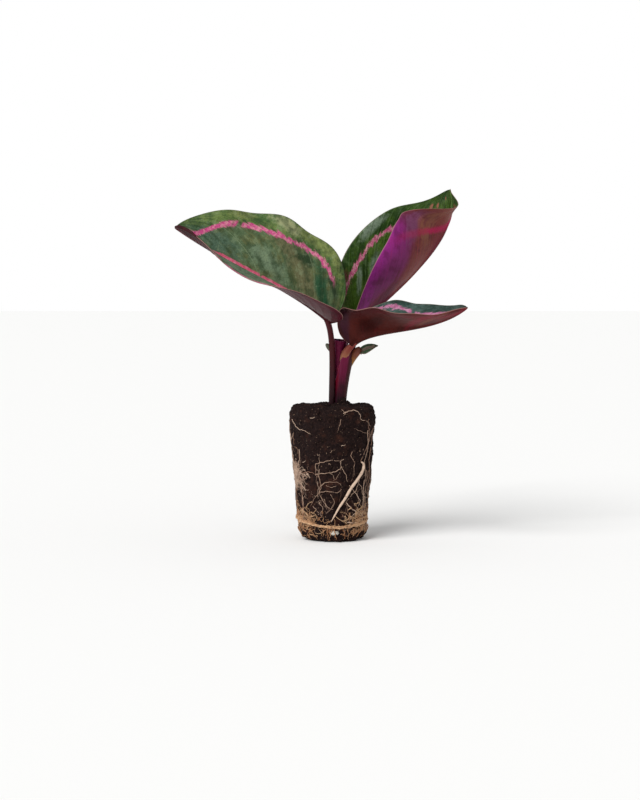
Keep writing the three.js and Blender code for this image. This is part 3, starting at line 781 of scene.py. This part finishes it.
def sheath_skin():
    """Magenta sheath: dark at the foot, crimson and violet on the left, painted shade on the
    right, away from the sun, and a painted highlight along its edges.
    """
    g = Graph("sheath", **SHEATH_COLOURS)
    along = g.read("along")
    around = g.read("around")
    streaks = g.noise(g.vector(around * 3.0, along * 1.2), 2.0, 4.0, 0.6)
    patches = g.grains(300.0, 3.0)
    base = g.mix(g.band(along + (patches - 0.5) * 0.25, 0.3, 0.85), "foot", "top")
    crimson = g.band(around + (patches - 0.5) * 0.8, -0.35, -0.8) * g.band(along, 0.35, 0.6)
    base = g.mix(crimson, base, "crimson")
    violet = crimson * g.band(along + (patches - 0.5) * 0.2, 0.78, 0.92)
    base = g.mix(violet, base, "violet")
    # Painted shade: the dark tone over the right side of the sheath, which faces away from the sun.
    base = g.layers(base, ("dark", around + (streaks - 0.5) * 0.3, 0.3, 0.62, 1.0),
                    ("streak", streaks, 0.5, 0.75, 0.35),
                    # Painted highlight: the streak tone along the free margins and rim of the
                    # sheath, where they catch the light.
                    ("streak", g.read("edge"), 0.4, 0.1, g.band(along, 0.3, 0.6) * 0.6))
    height = streaks * 0.8 + g.grains(2200.0) * 0.3
    return g.finish(base, patches * 0.2 + 0.32, height, 0.08, specular=0.14)


STEM_SIDES = 30
STEM_ROWS = 70
STEM_RIBS = 9
RIB_RELIEF = 0.025               # as a share of the radius
STALK_REACH = 2.2                # how far a petiole runs on into the rib of its blade
PETIOLES = {
    "left_petiole": {
        "route": [(-0.4, -3.2, 49), (-0.6, -3.2, 68), (1.2, -4.8, 87)],
        "radii": [(0, 1.3), (0.6, 1.25), (1, 1.25)], "blade": LEFT_BLADE, "skin": "left_stalk",
    },
    "upright_petiole": {
        "route": [(4.2, -1.0, 79), (4.7, 0.2, 82), (5.6, 3.0, 85.4)],
        "radii": [(0, 1.3), (1, 1.1)], "blade": UPRIGHT_BLADE, "skin": "upright_stalk",
    },
    "right_petiole": {
        "route": [(4.6, -2.2, 73), (4.7, -2.6, 78), (4.4, -6.4, 80.5)],
        "radii": [(0, 1.4), (0.45, 1.75), (0.75, 1.5), (1, 1.1)],
        "blade": RIGHT_BLADE, "skin": "right_stalk",
    },
}
SMALL_STALK = [(6.4, -1.2, 74.0), (7.8, -1.8, 75.6), (8.8, -3.6, 79.6), (11.8, -5.0, 82.2)]
SMALL_STALK_RADII = [(0, 1.3), (0.4, 1.4), (0.85, 1.7), (1, 1.0)]
DEAD_SCALE = [(-0.7, -3.9, 81.0), (-1.3, -4.2, 82.0), (-1.9, -4.4, 83.0), (-2.8, -4.7, 84.2)]
DEAD_SCALE_RADII = [(0, 0.7), (0.5, 0.95), (0.9, 0.7), (1, 0.15)]


def stalk(parts, route, radii, slot=0):
    """Stalk along a Bezier curve, with (share, radius) pairs and fine lengthwise ribs."""
    share = np.linspace(0, 1, STEM_ROWS)
    points, _ = bezier(route, share)
    angle = np.arange(STEM_SIDES) * 2 * math.pi / STEM_SIDES
    relief = 1 + RIB_RELIEF * np.sin(STEM_RIBS * angle[None, :] + 2.5 * share[:, None])
    vertices, faces = tube(points, keyed(radii, share)[:, None] * relief, STEM_SIDES)
    around = np.abs(angle - math.pi)
    along = np.append(np.repeat(share, STEM_SIDES), [0, 1])
    parts.add(vertices, faces, slot, along=along, edge=9,
              around=np.append(np.tile(around, STEM_ROWS), [0, 0]))


def petiole_end(blade):
    """Point inside the rib of a blade, a little way in from its base."""
    point, tangent = bezier(blade["midrib"], 0.0)
    base = np.array(0.0)
    up = sum(half_surface(blade, side, base, base)[1] for side in ("left", "right"))
    return tuple(point + STALK_REACH * tangent - 0.5 * RIB_DEPTH_BASE * unit(up))


def petiole(name, route, blade, radii, skin):
    parts = Parts()
    stalk(parts, [*route, petiole_end(blade)], radii)
    skins = [stem_skin(skin)]
    if name == "left_petiole":
        stalk(parts, DEAD_SCALE, DEAD_SCALE_RADII, slot=1)
        skins.append(stem_skin("dead_scale"))
    dress(parts.build(name, *skins), "stem", name)


# A leaf sheath is a sheet rolled round a Bezier axis. Turn is the angle of its free margin
# by height, top the height of its upper rim by angle, and overlap how far the margin laps
# over. The last number is how strongly the painted shade on its right, away from the sun,
# and the crimson on its left show.

SHEATH_ROWS = 90
SHEATH_COLUMNS = 110
SHEATH_THICKNESS = 0.28
SHEATH_FLARE = 0.35              # how far the rim leans out
INNER_SHEATH = {
    "axis": [(3.2, -1.9, 48), (3.0, -1.8, 62), (2.9, -1.6, 76), (3.0, -1.4, 86.2)],
    "radii": [(0, 2.1), (0.6, 2.3), (1, 2.5)],
    "turn": [(48, 150), (86, 60)],
    "top": [(-180, 86), (-90, 86.2), (0, 85), (90, 85.4), (180, 86)],
    "overlap": 40, "shade_and_crimson": 0.4,
}
OUTER_SHEATH = {
    "axis": [(3.1, -2.0, 48), (2.8, -2.0, 60), (4.6, -2.0, 72), (6.0, -2.4, 84)],
    "radii": [(0, 2.6), (0.35, 2.6), (0.6, 2.9), (0.8, 3.35), (1, 3.6)],
    "turn": [(48, -150), (60, -115), (66, -88), (71, -55), (76, -29), (84, -15)],
    "top": [(-180, 82.5), (-60, 74), (-30, 77), (-8, 78.8), (10, 78.2), (24, 80.6), (38, 84),
            (60, 84.6), (180, 83)],
    "overlap": 30, "shade_and_crimson": 1,
}


def sheath_wrap(parts, axis, radii, turn, top, overlap, shade_and_crimson):
    rows = np.linspace(0, 1, SHEATH_ROWS)
    v, a = np.meshgrid(rows, np.linspace(0, 1, SHEATH_COLUMNS), indexing="ij")
    low, high = axis[0][2], axis[3][2]
    reach = 360 + overlap
    height = low + (high - low) * v
    for _ in range(3):
        angle = keyed(turn, height) + reach * a
        wrapped = (angle + 180) % 360 - 180
        height = low + (keyed(top, wrapped) - low) * v
    share = (height - low) / (high - low)
    centre, _ = bezier(axis, share)
    turned_by = np.radians(angle)
    ridges = 0.05 * np.sin(26 * turned_by) + 0.03 * np.sin(57 * turned_by + 1)
    radius = keyed(radii, share) + 0.45 * (1 - a) ** 2 - 0.3 * a + ridges * smooth(v, 0, 0.2)
    outward = plug_point(angle, 1, 0)
    rim = radius + SHEATH_FLARE * smooth(v, 0.85, 1)
    outer = centre + rim[..., None] * outward
    inner = centre + (rim - SHEATH_THICKNESS)[..., None] * outward
    edge = np.minimum(a * math.radians(reach) * radius, (1 - v) * (high - low))
    # Angle round the axis, scaled: it lays the painted shade on the right and the crimson on the
    # left.
    around = shade_and_crimson * np.radians(wrapped)
    closed_sheet(parts, outer, inner, {"along": share, "around": around, "edge": edge})


def sheath():
    """Sheath of the right leaf rolled round that of the upright leaf, which stands higher."""
    parts = Parts()
    sheath_wrap(parts, **INNER_SHEATH)
    sheath_wrap(parts, **OUTER_SHEATH)
    dress(parts.build("sheath", sheath_skin()), "stem", "sheath")


def small_leaf():
    parts = blade_mesh(SMALL_BLADE, SMALL_ROWS, SMALL_COLUMNS, SMALL_THICKNESS)
    stalk(parts, SMALL_STALK, SMALL_STALK_RADII, slot=2)
    skins = leaf_upper("small_leaf"), leaf_underside("small_underside"), stem_skin("small_stalk")
    dress(parts.build("small_leaf", *skins), "leaf_green", "small_leaf")


# Plug

def lumps(angle, height):
    """Relief of the soil, as in the source of the part."""
    a = np.radians(angle)
    return LUMP_HEIGHT * (0.45 * np.sin(5 * a + 0.21 * height)
                          + 0.35 * np.sin(9 * a - 0.33 * height + 1.1)
                          + 0.30 * np.sin(3 * a + 0.52 * height + 2.3))


def side_radius(height):
    """Radius of the plug without its relief."""
    return np.interp(height, [z for _, z in PLUG_SIDE], [r for r, _ in PLUG_SIDE])


def plug_radius(angle, height):
    return side_radius(height) + lumps(angle, height)


def plug_point(angle, radius, height):
    a = np.radians(angle)
    return np.stack(np.broadcast_arrays(radius * np.sin(a), -radius * np.cos(a), height), -1)


def crumble(points, scale, seed):
    """Noise from -1 to 1 at each point, of features as wide as the scale in millimetres."""
    shift = Vector((seed * 13.7, seed * 5.1, seed * 9.3))
    flat = points.reshape(-1, 3) / scale
    values = [noise.noise(Vector(p) + shift) for p in flat]
    return np.array(values).reshape(points.shape[:-1])


SOIL_COLOURS = {
    "dark": (24, 13, 13), "brown": (48, 30, 26), "warm": (76, 44, 32), "pale": (128, 104, 86),
}


def soil_skin():
    """Dark peat with warmer patches, fibres and a few pale grains."""
    g = Graph("soil", **SOIL_COLOURS)
    cells = {"Vector": g.place(), "Scale": 900.0}
    crumbs = g.node("ShaderNodeTexVoronoi", cells, "Distance")
    grain = g.grains(1800.0, 4.0, 0.7)
    base = g.mix(g.band(grain, 0.4, 0.66), "dark", "brown")
    base = g.layers(base, ("warm", g.grains(160.0, 4.0, 0.6), 0.52, 0.7, 0.6),
                    ("pale", g.grains(1300.0), 0.67, 0.71, 1.0), ("dark", crumbs, 0.55, 0.8, 0.6))
    return g.finish(base, 0.95, grain - crumbs, 0.3, specular=0.15)


SOIL_ROWS = 200
SOIL_COLUMNS = 240
TOP_LEVEL = 50                   # above this the rim and the mound raise the soil
DOME_LEVEL = 55                  # above this the relief of the soil also moves it up
RIM_RADIUS = 15.8                # the soil stands a little higher round the rim
RIM_WIDTH = 2.6
RIM_RISE = 1.5
MOUND = (4.7, -4.4, 2.3, 2.9)    # x, y, radius and height of the soil heaped by the stem


def soil_surface():
    outline = np.array([(8, 0), *PLUG_SIDE, *PLUG_TOP], float)
    steps = np.hypot(*np.diff(outline, axis=0).T)
    travelled = np.concatenate([[0], np.cumsum(steps)])
    at = np.linspace(0, travelled[-1], SOIL_ROWS)
    radius = np.interp(at, travelled, outline[:, 0])[:, None]
    height = np.interp(at, travelled, outline[:, 1])[:, None]
    angle = (np.arange(SOIL_COLUMNS) * 360 / SOIL_COLUMNS)[None, :]
    relief = lumps(angle, height) * smooth(height, 0, 1.5) * smooth(radius, 1, 6)
    points = plug_point(angle, radius + relief, height)
    points[..., 2] += np.where(height > DOME_LEVEL, relief, 0)
    slope = np.gradient(np.hstack([radius, height]), axis=0)
    slope = slope / np.hypot(slope[:, :1], slope[:, 1:])
    outward = plug_point(angle, slope[:, 1:], -slope[:, :1])
    clods = crumble(points, 2.6, 1)
    crumbs = np.abs(crumble(points, 1.1, 2))
    grains = crumble(points, 0.5, 3)
    rise = 0.55 * clods - 0.9 * crumbs + 0.22 * grains + 0.12
    rise = rise * smooth(height, 0, 1.2)
    points = points + rise[..., None] * outward
    from_rim = (radius - RIM_RADIUS) / RIM_WIDTH
    uneven = 0.85 + 0.3 * np.sin(np.radians(3 * angle + 40)) * np.sin(np.radians(7 * angle))
    points[..., 2] += np.where(height > TOP_LEVEL, RIM_RISE * np.exp(-(from_rim**2)) * uneven, 0)
    x, y, reach, top = MOUND
    away = np.hypot(points[..., 0] - x, points[..., 1] - y)
    points[..., 2] += np.where(height > TOP_LEVEL, top * np.exp(-((away / reach) ** 2)), 0)
    points[..., 2] = np.maximum(points[..., 2], 0)
    return points


def lump_shapes(count, seed):
    """Small irregular solids of about unit radius."""
    draw = random.Random(seed)
    shapes = []
    for index in range(count):
        points, faces = icosphere(LUMP_DETAIL)
        swell = 1 + 0.45 * crumble(points, 0.9, seed + index) + 0.2 * crumble(points, 0.4, index)
        stretch = np.array([draw.uniform(0.7, 1.25) for _ in range(3)])
        shapes.append((points * swell[:, None] * stretch, faces))
    return shapes


def add_lump(parts, shapes, size, centre, draw):
    """One of the shapes, turned at random."""
    points, faces = draw.choice(shapes)
    spin = Matrix.Rotation(draw.uniform(0, 6.28), 3, "Z")
    spin = spin @ Matrix.Rotation(draw.uniform(0, 3.14), 3, "X")
    made = points @ np.array(spin).T * size + centre
    made[:, 2] = np.maximum(made[:, 2], 0.02)
    parts.add(made, faces)


LUMP_SHAPES = 7                  # different shapes among the crumbs and clods
LUMP_DETAIL = 2
CRUMBS = 1100
CRUMB_SIZES = (0.16, 0.42)
RIM_CLODS = 40
RIM_CLOD_SIZES = (0.5, 1.0)
FOOT_CLODS = 60
FOOT_CLOD_SIZES = (0.7, 1.5)
MOUND_CLODS = 12
MOUND_CLOD_SIZES = (0.45, 0.85)


def soil():
    parts = Parts()
    surface = soil_surface()
    ends = [surface[0].mean(axis=0), surface[-1].mean(axis=0)]
    parts.add(np.vstack([surface.reshape(-1, 3), ends]), tube_faces(SOIL_ROWS, SOIL_COLUMNS))
    draw = random.Random(5)
    shapes = lump_shapes(LUMP_SHAPES, 3)
    for index in range(CRUMBS + RIM_CLODS + FOOT_CLODS):
        angle = draw.uniform(-180, 180)
        if index < CRUMBS / 4:
            size = draw.uniform(*CRUMB_SIZES)
            radius = 17.5 * math.sqrt(draw.random())
            height = np.interp(radius, *zip(*reversed(PLUG_TOP[:4]))) + 0.1 * size
        elif index < CRUMBS:
            size = draw.uniform(*CRUMB_SIZES)
            height = draw.uniform(1, 56)
            radius = plug_radius(angle, height) - 0.15
        elif index < CRUMBS + RIM_CLODS:
            size = draw.uniform(*RIM_CLOD_SIZES)
            height = draw.uniform(51, 55)
            radius = plug_radius(angle, height) - 0.5 * size
        else:
            size = draw.uniform(*FOOT_CLOD_SIZES)
            height = draw.uniform(0.8, 4.5)
            radius = plug_radius(angle, height) - 0.3 * size
        add_lump(parts, shapes, size, plug_point(angle, radius, height), draw)
    x, y, reach, top = MOUND
    for _ in range(MOUND_CLODS):
        size = draw.uniform(*MOUND_CLOD_SIZES)
        away = draw.uniform(0, reach)
        angle = draw.uniform(-100, 100)
        level = 58 + top * math.exp(-((away / reach) ** 2)) - 0.2 * size
        add_lump(parts, shapes, size, plug_point(angle, away, level) + (x, y, 0), draw)
    dress(parts.build("soil_plug", soil_skin()), "soil", "soil_plug")


# Roots

ROOT_COLOURS = {
    "root": {"pale": (226, 196, 172), "tan": (142, 104, 84), "dirt": (84, 54, 44)},
    "root_mat": {"pale": (228, 188, 146), "tan": (174, 118, 78), "dirt": (84, 50, 34)},
}


def root_skin(name):
    """Root with a tint of its own and dirt in patches."""
    g = Graph(name, **ROOT_COLOURS[name])
    dirt = g.grains(520.0, 3.0, 0.6)
    base = g.mix(g.read("tint"), "pale", "tan")
    base = g.layers(base, ("dirt", dirt, 0.5, 0.72, 0.7))
    return g.finish(base, 0.6, g.grains(3200.0, 3.0) + dirt, 0.06, specular=0.3)


def surface_root(parts, stations, radius, tint, draw, sides=6, lift=0.35, steps=7, wobble=0.5):
    """Root laid on the side of the plug through (angle, height) stations."""
    route = spline([(a, z, 0) for a, z in stations], steps)
    count = len(route)
    phase = draw.uniform(0, 6)
    travel = np.arange(count) * 0.9
    angle = route[:, 0] + wobble * 3 * np.sin(travel + phase)
    height = route[:, 1] + wobble * np.sin(1.37 * travel + 2 * phase)
    height = np.maximum(height, 0.3)
    out = plug_radius(angle, height) + lift * radius + 0.12
    out = out + 0.12 * np.sin(2.1 * travel + phase)
    points = plug_point(angle, out, height)
    share = np.linspace(0, 1, count)
    thin = radius * (1 - 0.6 * share**3) * (1 + 0.12 * np.sin(3.3 * travel + phase))
    vertices, faces = tube(points, thin, sides)
    parts.add(vertices, faces, tint=tint)


AXIS_COLUMN = 332.5              # pixel column of the plug's axis in the photograph
FOOT_ROW = 539                   # pixel row of its foot
NEARER = 0.978                   # the front of the plug is nearer to the camera than its axis


def seen(column, row):
    """Angle and height on the plug of what the photograph shows at a pixel."""
    x = (column - AXIS_COLUMN) * PIXEL * NEARER
    level = (FOOT_ROW - row) * PIXEL
    radius = side_radius(level)
    angle = math.asin(max(-0.99, min(0.99, x / radius)))
    lift = radius * math.cos(angle) * math.tan(math.radians(CAMERA_ELEVATION))
    return math.degrees(angle), level + lift


# Roots that the photograph shows on the front of the plug: a radius, a tint from pale to
# tan, and the pixels that each one passes.
FRONT_ROOTS = [
    (0.16, 0.2, [(291, 419), (294, 424), (299, 429), (304, 430), (311, 434)]),
    (0.13, 0.0, [(310, 418), (315, 417)]),
    (0.17, 0.2, [(343, 413), (348, 411), (354, 410), (359, 414), (360, 419), (367, 421),
                 (370, 426)]),
    (0.12, 0.5, [(341, 409), (345, 413), (343, 415)]),
    (0.13, 0.6, [(354, 428), (361, 431), (369, 434)]),
    (0.12, 0.6, [(341, 419), (339, 426), (337, 431)]),
    (0.15, 0.5, [(315, 463), (323, 461), (331, 459), (340, 460)]),
    (0.14, 0.6, [(315, 463), (315, 473)]),
    (0.22, 0.9, [(304, 472), (309, 471), (315, 473)]),
    (0.18, 0.4, [(315, 473), (326, 472), (333, 471), (339, 468), (341, 465)]),
    (0.16, 0.4, [(340, 460), (341, 466), (345, 473), (347, 481)]),
    (0.13, 0.3, [(343, 458), (339, 461)]),
    (0.15, 0.6, [(352, 451), (351, 456), (354, 461), (353, 468), (354, 474)]),
    (0.15, 0.5, [(323, 482), (327, 481), (337, 481), (341, 484)]),
    (0.12, 0.5, [(326, 484), (331, 486), (337, 484)]),
    (0.15, 0.5, [(320, 491), (327, 490), (337, 491), (341, 488)]),
    (0.16, 0.6, [(318, 474), (321, 484), (319, 491), (314, 498), (311, 505)]),
    (0.14, 0.4, [(324, 482), (320, 486), (320, 494), (324, 501), (327, 508)]),
    (0.13, 0.4, [(319, 501), (323, 508), (317, 514)]),
    (0.14, 0.5, [(313, 505), (317, 509), (323, 516)]),
    (0.13, 0.4, [(324, 498), (327, 505), (333, 508)]),
    (0.13, 0.6, [(330, 493), (334, 500), (331, 507), (326, 512)]),
    (0.20, 0.8, [(361, 461), (364, 452), (369, 436), (368, 426)]),
    (0.24, 0.8, [(373, 428), (372, 438), (370, 449), (369, 464), (369, 481), (368, 500)]),
    (0.18, 0.6, [(366, 470), (367, 484), (365, 498), (366, 512)]),
    (0.18, 0.3, [(356, 481), (361, 486), (363, 495), (369, 498)]),
    (0.18, 0.3, [(359, 479), (356, 488), (350, 495), (346, 501)]),
    (0.26, 0.1, [(346, 501), (350, 506), (356, 511), (361, 516)]),
    (0.18, 0.2, [(349, 484), (356, 494), (359, 501), (356, 509)]),
    (0.20, 0.2, [(350, 518), (353, 514), (359, 511), (363, 516), (364, 521)]),
    (0.28, 0.1, [(347, 521), (356, 522), (361, 524)]),
    (0.12, 0.0, [(302, 462), (306, 460)]),
    (0.13, 0.0, [(305, 489), (309, 489)]),
    (0.12, 0.5, [(330, 452), (332, 449)]),
    (0.13, 0.0, [(341, 445), (345, 444)]),
]
THICK_ROOT = [(361, 461), (363, 465), (359, 475), (351, 486), (344, 498), (337, 509), (331, 520)]
THICK_ROOT_RADII = [(0, 0.22), (0.08, 0.5), (0.3, 0.6), (0.6, 0.58), (0.88, 0.36), (1, 0.12)]


def thick_root(parts):
    """The cream root that runs across the front of the plug."""
    path = spline([(*seen(*pixel), 0) for pixel in THICK_ROOT], 9)
    share = np.linspace(0, 1, len(path))
    bend = 0.2 * np.sin(9 * share) + 0.08 * np.sin(31 * share)
    radius = keyed(THICK_ROOT_RADII, share)
    out = plug_radius(path[:, 0], path[:, 1]) + 0.75 * radius + 0.2 + bend
    knots = 1 + 0.06 * np.sin(70 * share) + 0.05 * np.sin(43 * share + 1)
    vertices, faces = tube(plug_point(path[:, 0], out, path[:, 1]), radius * knots, 14)
    parts.add(vertices, faces, tint=0.0)


NET_ROOTS = 60
NET_ANGLES = (56, 304)           # the sides and the back, which the photograph hides
ROOTLETS = 230
TANGLE = (-66, 27.8, 3.1)        # angle and height of the white tangle, and its reach
TANGLE_STRANDS = 85


def root_net():
    """White roots on the plug: those seen in front, and others drawn at random round it."""
    parts = Parts()
    draw = random.Random(11)
    for radius, tint, route in FRONT_ROOTS:
        stations = [seen(*pixel) for pixel in route]
        surface_root(parts, stations, 0.86 * radius, min(tint + 0.1, 1), draw, wobble=0.12)
    thick_root(parts)
    for index in range(NET_ROOTS):
        start = 50 + 260 * index / NET_ROOTS + draw.uniform(-6, 6)
        level = draw.uniform(14, 53)
        run = draw.choice((-1, 1)) * draw.uniform(1, 20)
        drop = draw.uniform(2, 13)
        stations = []
        for k in range(4):
            angle = start + run * k + draw.uniform(-8, 8)
            stations.append((np.clip(angle, *NET_ANGLES), max(level - drop * k, 4.0)))
        surface_root(parts, stations, draw.uniform(0.08, 0.19), draw.uniform(0.3, 1), draw,
                     wobble=0.55)
    for _ in range(ROOTLETS):
        angle = draw.uniform(-180, 180)
        level = 5 + 34 * draw.random() ** 1.4
        run, drop = draw.uniform(-14, 14), draw.uniform(-2, 4)
        stations = [(angle + run * k / 2, max(level - drop * k, 3.0)) for k in range(3)]
        surface_root(parts, stations, draw.uniform(0.05, 0.1), draw.uniform(0.3, 1), draw,
                     sides=4, steps=5, wobble=0.3)
    middle, height, reach = TANGLE
    for _ in range(TANGLE_STRANDS):
        angle = middle + draw.gauss(0, 8)
        level = height + draw.gauss(0, 0.6) * reach
        stations = [(angle + draw.uniform(-11, 11), level + draw.uniform(-reach, reach))
                    for _ in range(4)]
        surface_root(parts, stations, draw.uniform(0.05, 0.11), draw.uniform(0, 0.6), draw,
                     sides=4, lift=draw.uniform(0.5, 5), wobble=0.3)
    dress(parts.build("root_net", root_skin("root")), "root", "root_net")


RING_STRANDS = 8
RING_STATIONS = 14               # places that each strand passes
RING_FIBRES = 300
ROOT_ENDS = 46


def ring_level(angle):
    """Height of the matted ring: it sags in front and rises at the sides."""
    a = math.radians(angle)
    return 8.0 - 0.7 * math.cos(a) - 0.8 * math.cos(2 * a) - 0.4 * math.sin(a)


def root_mat():
    """Brown roots matted into a ring round the bottom of the plug, and their loose ends."""
    parts = Parts()
    draw = random.Random(23)
    for _ in range(RING_STRANDS):
        start = draw.uniform(-180, 180)
        length = draw.uniform(160, 380)
        rise = draw.gauss(0, 0.4)
        stations = []
        for k in range(RING_STATIONS):
            angle = start + length * k / (RING_STATIONS - 1)
            stations.append((angle, ring_level(angle) + rise + draw.uniform(-0.4, 0.4)))
        surface_root(parts, stations, draw.uniform(0.2, 0.36), draw.uniform(0, 0.7), draw,
                     lift=draw.uniform(0.5, 2.2), steps=9, wobble=0.2)
    for _ in range(RING_FIBRES):
        angle = draw.choice((draw.uniform(-180, 180), draw.gauss(-56, 13), draw.gauss(54, 13)))
        level = ring_level(angle) + draw.gauss(1.2, 2.6)
        stations = [(angle + draw.uniform(-12, 12), max(level + draw.uniform(-2.2, 2.2), 0.6))
                    for _ in range(3)]
        surface_root(parts, stations, draw.uniform(0.07, 0.15), draw.uniform(0, 1), draw,
                     sides=4, lift=draw.uniform(0.3, 3), steps=5, wobble=0.3)
    for _ in range(ROOT_ENDS):
        angle = draw.uniform(-180, 180)
        turn = draw.uniform(-8, 8)
        stations = [(angle, 6.0), (angle + turn, 3.4), (angle + 1.6 * turn, draw.uniform(0.3, 1.6))]
        surface_root(parts, stations, draw.uniform(0.1, 0.22), draw.uniform(0.6, 1), draw,
                     sides=5, lift=draw.uniform(0.5, 5), wobble=0.3)
    dress(parts.build("root_mat", root_skin("root_mat")), "root_mat", "root_mat")


# Perlite

BEAD_DETAIL = 5
BEADS = {
    "white_bead": {
        "centre": (2.6, 13.6, 4.3), "size": (2.2, 1.5, 1.1),
        "tone": (240, 236, 226), "shade": (176, 166, 146),
    },
    "grey_bead": {
        "centre": (17, 11.6, 1.5), "size": (1.7, 1.1, 0.8),
        "tone": (176, 160, 138), "shade": (110, 92, 74),
    },
}


def bead(name, centre, size, tone, shade):
    """Rough porous grain of perlite. Its centre is an angle, a radius and a height."""
    points, faces = icosphere(BEAD_DETAIL)
    swell = (1 + 0.16 * crumble(points, 0.7, 4) + 0.1 * crumble(points, 0.3, 6)
             - 0.12 * np.abs(crumble(points, 0.16, 8)))
    points = points * swell[:, None] * np.array(size) + plug_point(*centre)
    points[:, 2] = np.maximum(points[:, 2], 0.05)
    parts = Parts()
    parts.add(points, faces)
    g = Graph(name, tone=tone, shade=shade)
    pores = g.grains(2600.0, 3.0, 0.7)
    base = g.mix(g.band(pores, 0.35, 0.62), "shade", "tone")
    dress(parts.build(name, g.finish(base, 0.85, pores, 0.12)), "perlite", name)


# Stage

def make_stage():
    floor_mesh = bpy.data.meshes.new("floor")
    corners = [(-1, -1, 0), (1, -1, 0), (1, 1, 0), (-1, 1, 0)]
    floor_mesh.from_pydata(np.array(corners) * FLOOR_REACH, [], [(0, 1, 2, 3)])
    floor = add_object("floor", floor_mesh)
    floor_mesh.materials.append(Graph("floor").finish(FLOOR_TONE, 0.9))


def make_lights():
    """A soft sun from the upper left and an even sky, which is white behind the plant."""
    world = bpy.data.worlds.new("world")
    world.use_nodes = True
    tree = world.node_tree
    seen = tree.nodes.new("ShaderNodeLightPath").outputs["Is Camera Ray"]
    strength = tree.nodes.new("ShaderNodeMapRange")
    strength.inputs["To Min"].default_value = SKY_LIGHT
    strength.inputs["To Max"].default_value = 1.0
    tree.links.new(seen, strength.inputs["Value"])
    tree.links.new(strength.outputs[0], tree.nodes["Background"].inputs["Strength"])
    tree.nodes["Background"].inputs["Color"].default_value = (1, 1, 1, 1)
    bpy.context.scene.world = world
    light = bpy.data.lights.new("sun", "SUN")
    light.energy = SUN_LIGHT
    light.angle = math.radians(SUN_SIZE)
    sun = add_object("sun", light)
    sun.rotation_euler = Vector(SUN_DIRECTION).to_track_quat("-Z", "Y").to_euler()
    bpy.context.scene.view_settings.view_transform = "Standard"


def make_camera():
    data = bpy.data.cameras.new("camera")
    data.sensor_fit = "VERTICAL"
    data.sensor_height = SENSOR
    data.lens = SENSOR * CAMERA_DISTANCE / (PIXEL * IMAGE_HEIGHT)
    camera = add_object("camera", data)
    elevation = math.radians(CAMERA_ELEVATION)
    back = Vector((0, -math.cos(elevation), math.sin(elevation)))
    camera.location = (Vector(CAMERA_TARGET) + CAMERA_DISTANCE * back) * MM
    camera.rotation_euler = (-back).to_track_quat("-Z", "Y").to_euler()
    bpy.context.scene.camera = camera


make_stage()
make_lights()
make_camera()

leaf("left_leaf", LEFT_BLADE, "green_leaf", "green_underside", "leaf_green")
leaf("upright_leaf", UPRIGHT_BLADE, "dark_leaf", "purple_underside", "leaf_dark")
leaf("right_leaf", RIGHT_BLADE, "teal_leaf", "maroon_underside", "leaf_dark")
small_leaf()
for name, shape in PETIOLES.items():
    petiole(name, **shape)
sheath()
soil()
root_net()
root_mat()
for name, shape in BEADS.items():
    bead(name, **shape)
